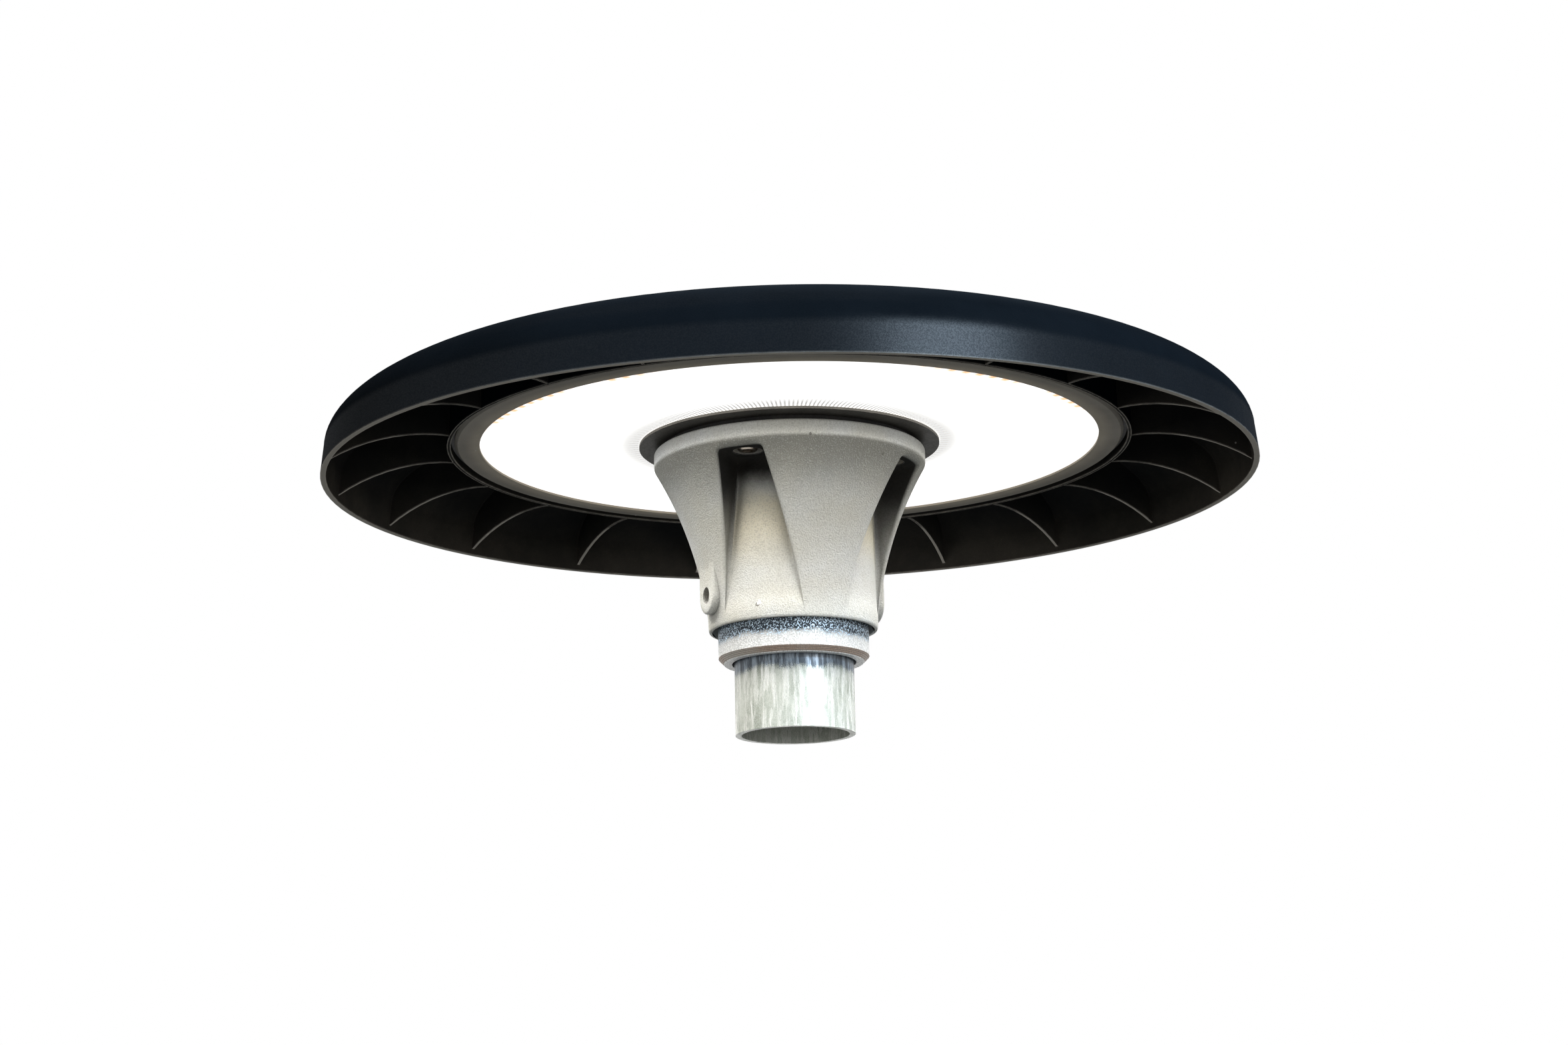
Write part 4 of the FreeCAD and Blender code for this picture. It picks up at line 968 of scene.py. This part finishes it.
def plain_coat(name, dark, light, rough, metallic=0.0, fineness=900.0, dust_amount=0.2):
    """Finish of an inner piece: two close tones, a fine grain, a little dust and lighter edges."""
    material, tree, shader = new_finish(name)
    grain = use(tree, COAT_GRAIN, Fineness=fineness)
    dust = use(tree, SETTLED_DUST, Patch_Scale=45.0, Amount=dust_amount)["Mask"]
    edge = use(tree, EDGE_WEAR_AND_HIGHLIGHT, Width=0.0006, Softness=0.6)["Mask"]
    lighter = [min(1.0, EDGE_LIFT * part) for part in light]
    coat = tint(tree, grain["Tone"], dark, light)
    coat = cover(tree, coat, dust, (0.30, 0.27, 0.22))
    # Lighter edges: worn, with a painted highlight
    coat = cover(tree, coat, edge, lighter, strength=0.25)
    set_inputs(tree, shader, Base_Color=coat, Metallic=metallic,
               Roughness=by_mask(tree, grain["Height"], rough - GRAIN_ROUGHNESS, rough + GRAIN_ROUGHNESS),
               Normal=bump(tree, grain["Height"], strength=0.25, depth=0.0001))
    return material


def warm_phosphor():
    """Light sources: yellow phosphor, lit."""
    material, tree, shader = new_finish("warm_phosphor")
    grain = use(tree, COAT_GRAIN, Fineness=2000.0)
    colour = tint(tree, grain["Tone"], (1.0, 0.62, 0.22), (1.0, 0.72, 0.32))
    set_inputs(tree, shader, Base_Color=colour, Roughness=by_mask(tree, grain["Height"], 0.3, 0.4),
               Emission_Color=colour, Emission_Strength=2.5)
    return material


FINISHES = {
    "canopy_paint": satin_black_coat(),
    "neck_paint": pale_grey_coat(),
    "plate_paint": dark_grey_coat(),
    "galvanised": rough_zinc(),
    "stainless": machined_steel(),
    "light_guide": lit_prism_sheet(),
    "reflector": plain_coat("white_sheet", dark=(0.86, 0.86, 0.85), light=(0.93, 0.93, 0.92), rough=0.55,
                            dust_amount=0.05),
    "aluminium": plain_coat("mill_aluminium", dark=(0.60, 0.60, 0.61), light=(0.74, 0.74, 0.75), rough=0.38,
                            metallic=1.0, fineness=500.0),
    "rubber": plain_coat("black_rubber", dark=(0.018, 0.018, 0.018), light=(0.030, 0.030, 0.030), rough=0.75,
                         dust_amount=0.15),
    "circuit_board": plain_coat("white_board_mask", dark=(0.82, 0.82, 0.80), light=(0.90, 0.90, 0.88),
                                rough=0.4, dust_amount=0.05),
    "led": warm_phosphor(),
    "driver_case": plain_coat("moulded_driver_case", dark=(0.70, 0.70, 0.68), light=(0.80, 0.80, 0.78),
                              rough=0.5),
    "terminal": plain_coat("moulded_terminal", dark=(0.60, 0.60, 0.56), light=(0.72, 0.72, 0.67), rough=0.5),
    "gland": plain_coat("moulded_nylon", dark=(0.035, 0.035, 0.038), light=(0.055, 0.055, 0.058), rough=0.45),
}

# Camera at the photograph's place: millimetres for the lens, metres and degrees
CAMERA_LENS = 67.483
CAMERA_SENSOR = 36.0
CAMERA_PLACE = (0.55222, -1.35116, -0.22823)
CAMERA_TURNS = (103.0303, 1.2223, 22.6527)
CAMERA_REACH = 60.0

# Points that the studio lamps shine at, in metres
NECK_MIDDLE = (0, 0, 0.08)
LAMP_MIDDLE = (0, 0, 0.13)
OPTIC_MIDDLE = (0, 0, 0.15)

# The optic's own light: metres, watts and degrees, with a gap under the light guide in millimetres
OPTIC_SIZE = 0.312
OPTIC_POWER = 1.75
OPTIC_SPREAD = 105
OPTIC_GAP = 0.05

# Half width and height of the floor, in millimetres
FLOOR_HALF = 14000
FLOOR_HEIGHT = -3000

# Share of white on the floor near the lamp, and the distances over which it grows to 1, in metres
FLOOR_WHITE = 0.92
FLOOR_FADE = (4.0, 10.0)


def finish_piece(piece, finish):
    """Gives a piece one material."""
    piece.data.materials.clear()
    piece.data.materials.append(finish)


def hang_camera():
    """Camera low in front of the lamp, looking up at it."""
    camera = new_object("camera", bpy.data.cameras.new("camera"))
    camera.data.lens = CAMERA_LENS
    camera.data.sensor_width = CAMERA_SENSOR
    camera.data.sensor_fit = "HORIZONTAL"
    camera.data.clip_end = CAMERA_REACH
    camera.location = CAMERA_PLACE
    camera.rotation_euler = [math.radians(turn) for turn in CAMERA_TURNS]
    bpy.context.scene.camera = camera


def hang_lamp(name, place, aim, size, power, colour, mirrored=True):
    """Soft square studio lamp that shines at a point; an unmirrored one only fills, with no highlight."""
    lamp = new_object(name, bpy.data.lights.new(name, "AREA"))
    lamp.data.size = size
    lamp.data.energy = power
    lamp.data.color = colour
    lamp.location = place
    lamp.rotation_euler = (Vector(aim) - Vector(place)).to_track_quat("-Z", "Y").to_euler()
    lamp.visible_glossy = mirrored


def hang_optic_light():
    """The optic's own light: a wide disc under the light guide that shines mostly downwards."""
    optic = new_object("optic_light", bpy.data.lights.new("optic_light", "AREA"))
    optic.data.shape = "DISK"
    optic.data.size = OPTIC_SIZE
    optic.data.energy = OPTIC_POWER
    optic.data.spread = math.radians(OPTIC_SPREAD)
    optic.data.color = (1.0, 0.985, 0.95)
    optic.location = (0, 0, (GUIDE_FACE - OPTIC_GAP) * MM)
    optic.visible_camera = False


def white_for_sight(tree, plain, white_kind, share=1.0):
    """Mixes a share of white, which the eye, gloss and glass see, into the shader that other light meets."""
    path = add_node(tree, "ShaderNodeLightPath").outputs
    seen = maths(tree, "MAXIMUM", path["Is Camera Ray"], path["Is Glossy Ray"])
    seen = maths(tree, "MAXIMUM", seen, path["Is Transmission Ray"])
    white = add_node(tree, white_kind, {"Color": (1, 1, 1, 1), "Strength": 1.0})
    shaders = {0: times(tree, seen, share), 1: plain.outputs[0], 2: white.outputs[0]}
    return add_node(tree, "ShaderNodeMixShader", shaders).outputs[0]


def build_surroundings():
    """White surroundings that give a little cool light."""
    world = bpy.data.worlds.new("studio")
    world.use_nodes = True
    bpy.context.scene.world = world
    tree = world.node_tree
    tree.nodes.clear()
    sky = add_node(tree, "ShaderNodeBackground", {"Color": (0.96, 0.98, 1.0, 1), "Strength": 0.18})
    add_node(tree, "ShaderNodeOutputWorld", {"Surface": white_for_sight(tree, sky, "ShaderNodeBackground")})


def build_floor():
    """Pale floor far below the post, which turns to plain white far out."""
    sides = ((-1, -1), (1, -1), (1, 1), (-1, 1))
    corners = [(x * FLOOR_HALF, y * FLOOR_HALF, FLOOR_HEIGHT) for x, y in sides]
    floor = add_piece("floor", corners, [(0, 1, 2, 3)])
    material, tree, shader = new_finish("pale_floor")
    away = vectors(tree, "LENGTH", lamp_point(tree))["Value"]
    share = ramp(tree, away, *FLOOR_FADE, FLOOR_WHITE, 1.0)
    set_inputs(tree, shader, Base_Color=(0.30, 0.30, 0.29, 1))
    seen = white_for_sight(tree, shader, "ShaderNodeEmission", share)
    set_inputs(tree, node_of(tree, "OUTPUT_MATERIAL"), Surface=seen)
    finish_piece(floor, material)


def hang_lamps():
    """Soft studio lamps round the lamp, and the light of its optic."""
    hang_lamp("sheen_window", place=(2.30, -1.33, 1.54), aim=LAMP_MIDDLE, size=1.3, power=165,
              colour=(0.64, 0.82, 1.0))
    hang_lamp("low_right", place=(2.57, -1.48, 0.36), aim=NECK_MIDDLE, size=1.4, power=25,
              colour=(0.97, 0.98, 1.0))
    hang_lamp("low_left", place=(-1.50, -2.60, 0.22), aim=NECK_MIDDLE, size=1.4, power=24,
              colour=(1.0, 0.985, 0.955), mirrored=False)
    hang_lamp("overhead", place=(-0.6, 0.8, 2.6), aim=LAMP_MIDDLE, size=1.6, power=18,
              colour=(1.0, 1.0, 1.0))
    hang_lamp("ground_bounce", place=(0.7, -1.0, -1.9), aim=OPTIC_MIDDLE, size=2.4, power=5,
              colour=(1.0, 0.97, 0.92), mirrored=False)
    hang_optic_light()


neck_casting = make_neck_casting()
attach(neck_casting, "root")
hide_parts("neck")
finish_piece(neck_casting, FINISHES["neck_paint"])

light_guide = make_light_guide()
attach(light_guide, "root")
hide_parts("light_guide")
finish_piece(light_guide, FINISHES["light_guide"])

for part in frame["record"]["subparts"]:
    finish_piece(frame["nodes"][part["node"]], FINISHES[part["material_slot"]])
finish_piece(frame["nodes"]["pole"], streaked_zinc())

hang_camera()
build_surroundings()
build_floor()
hang_lamps()
bpy.context.scene.view_settings.view_transform = "Standard"
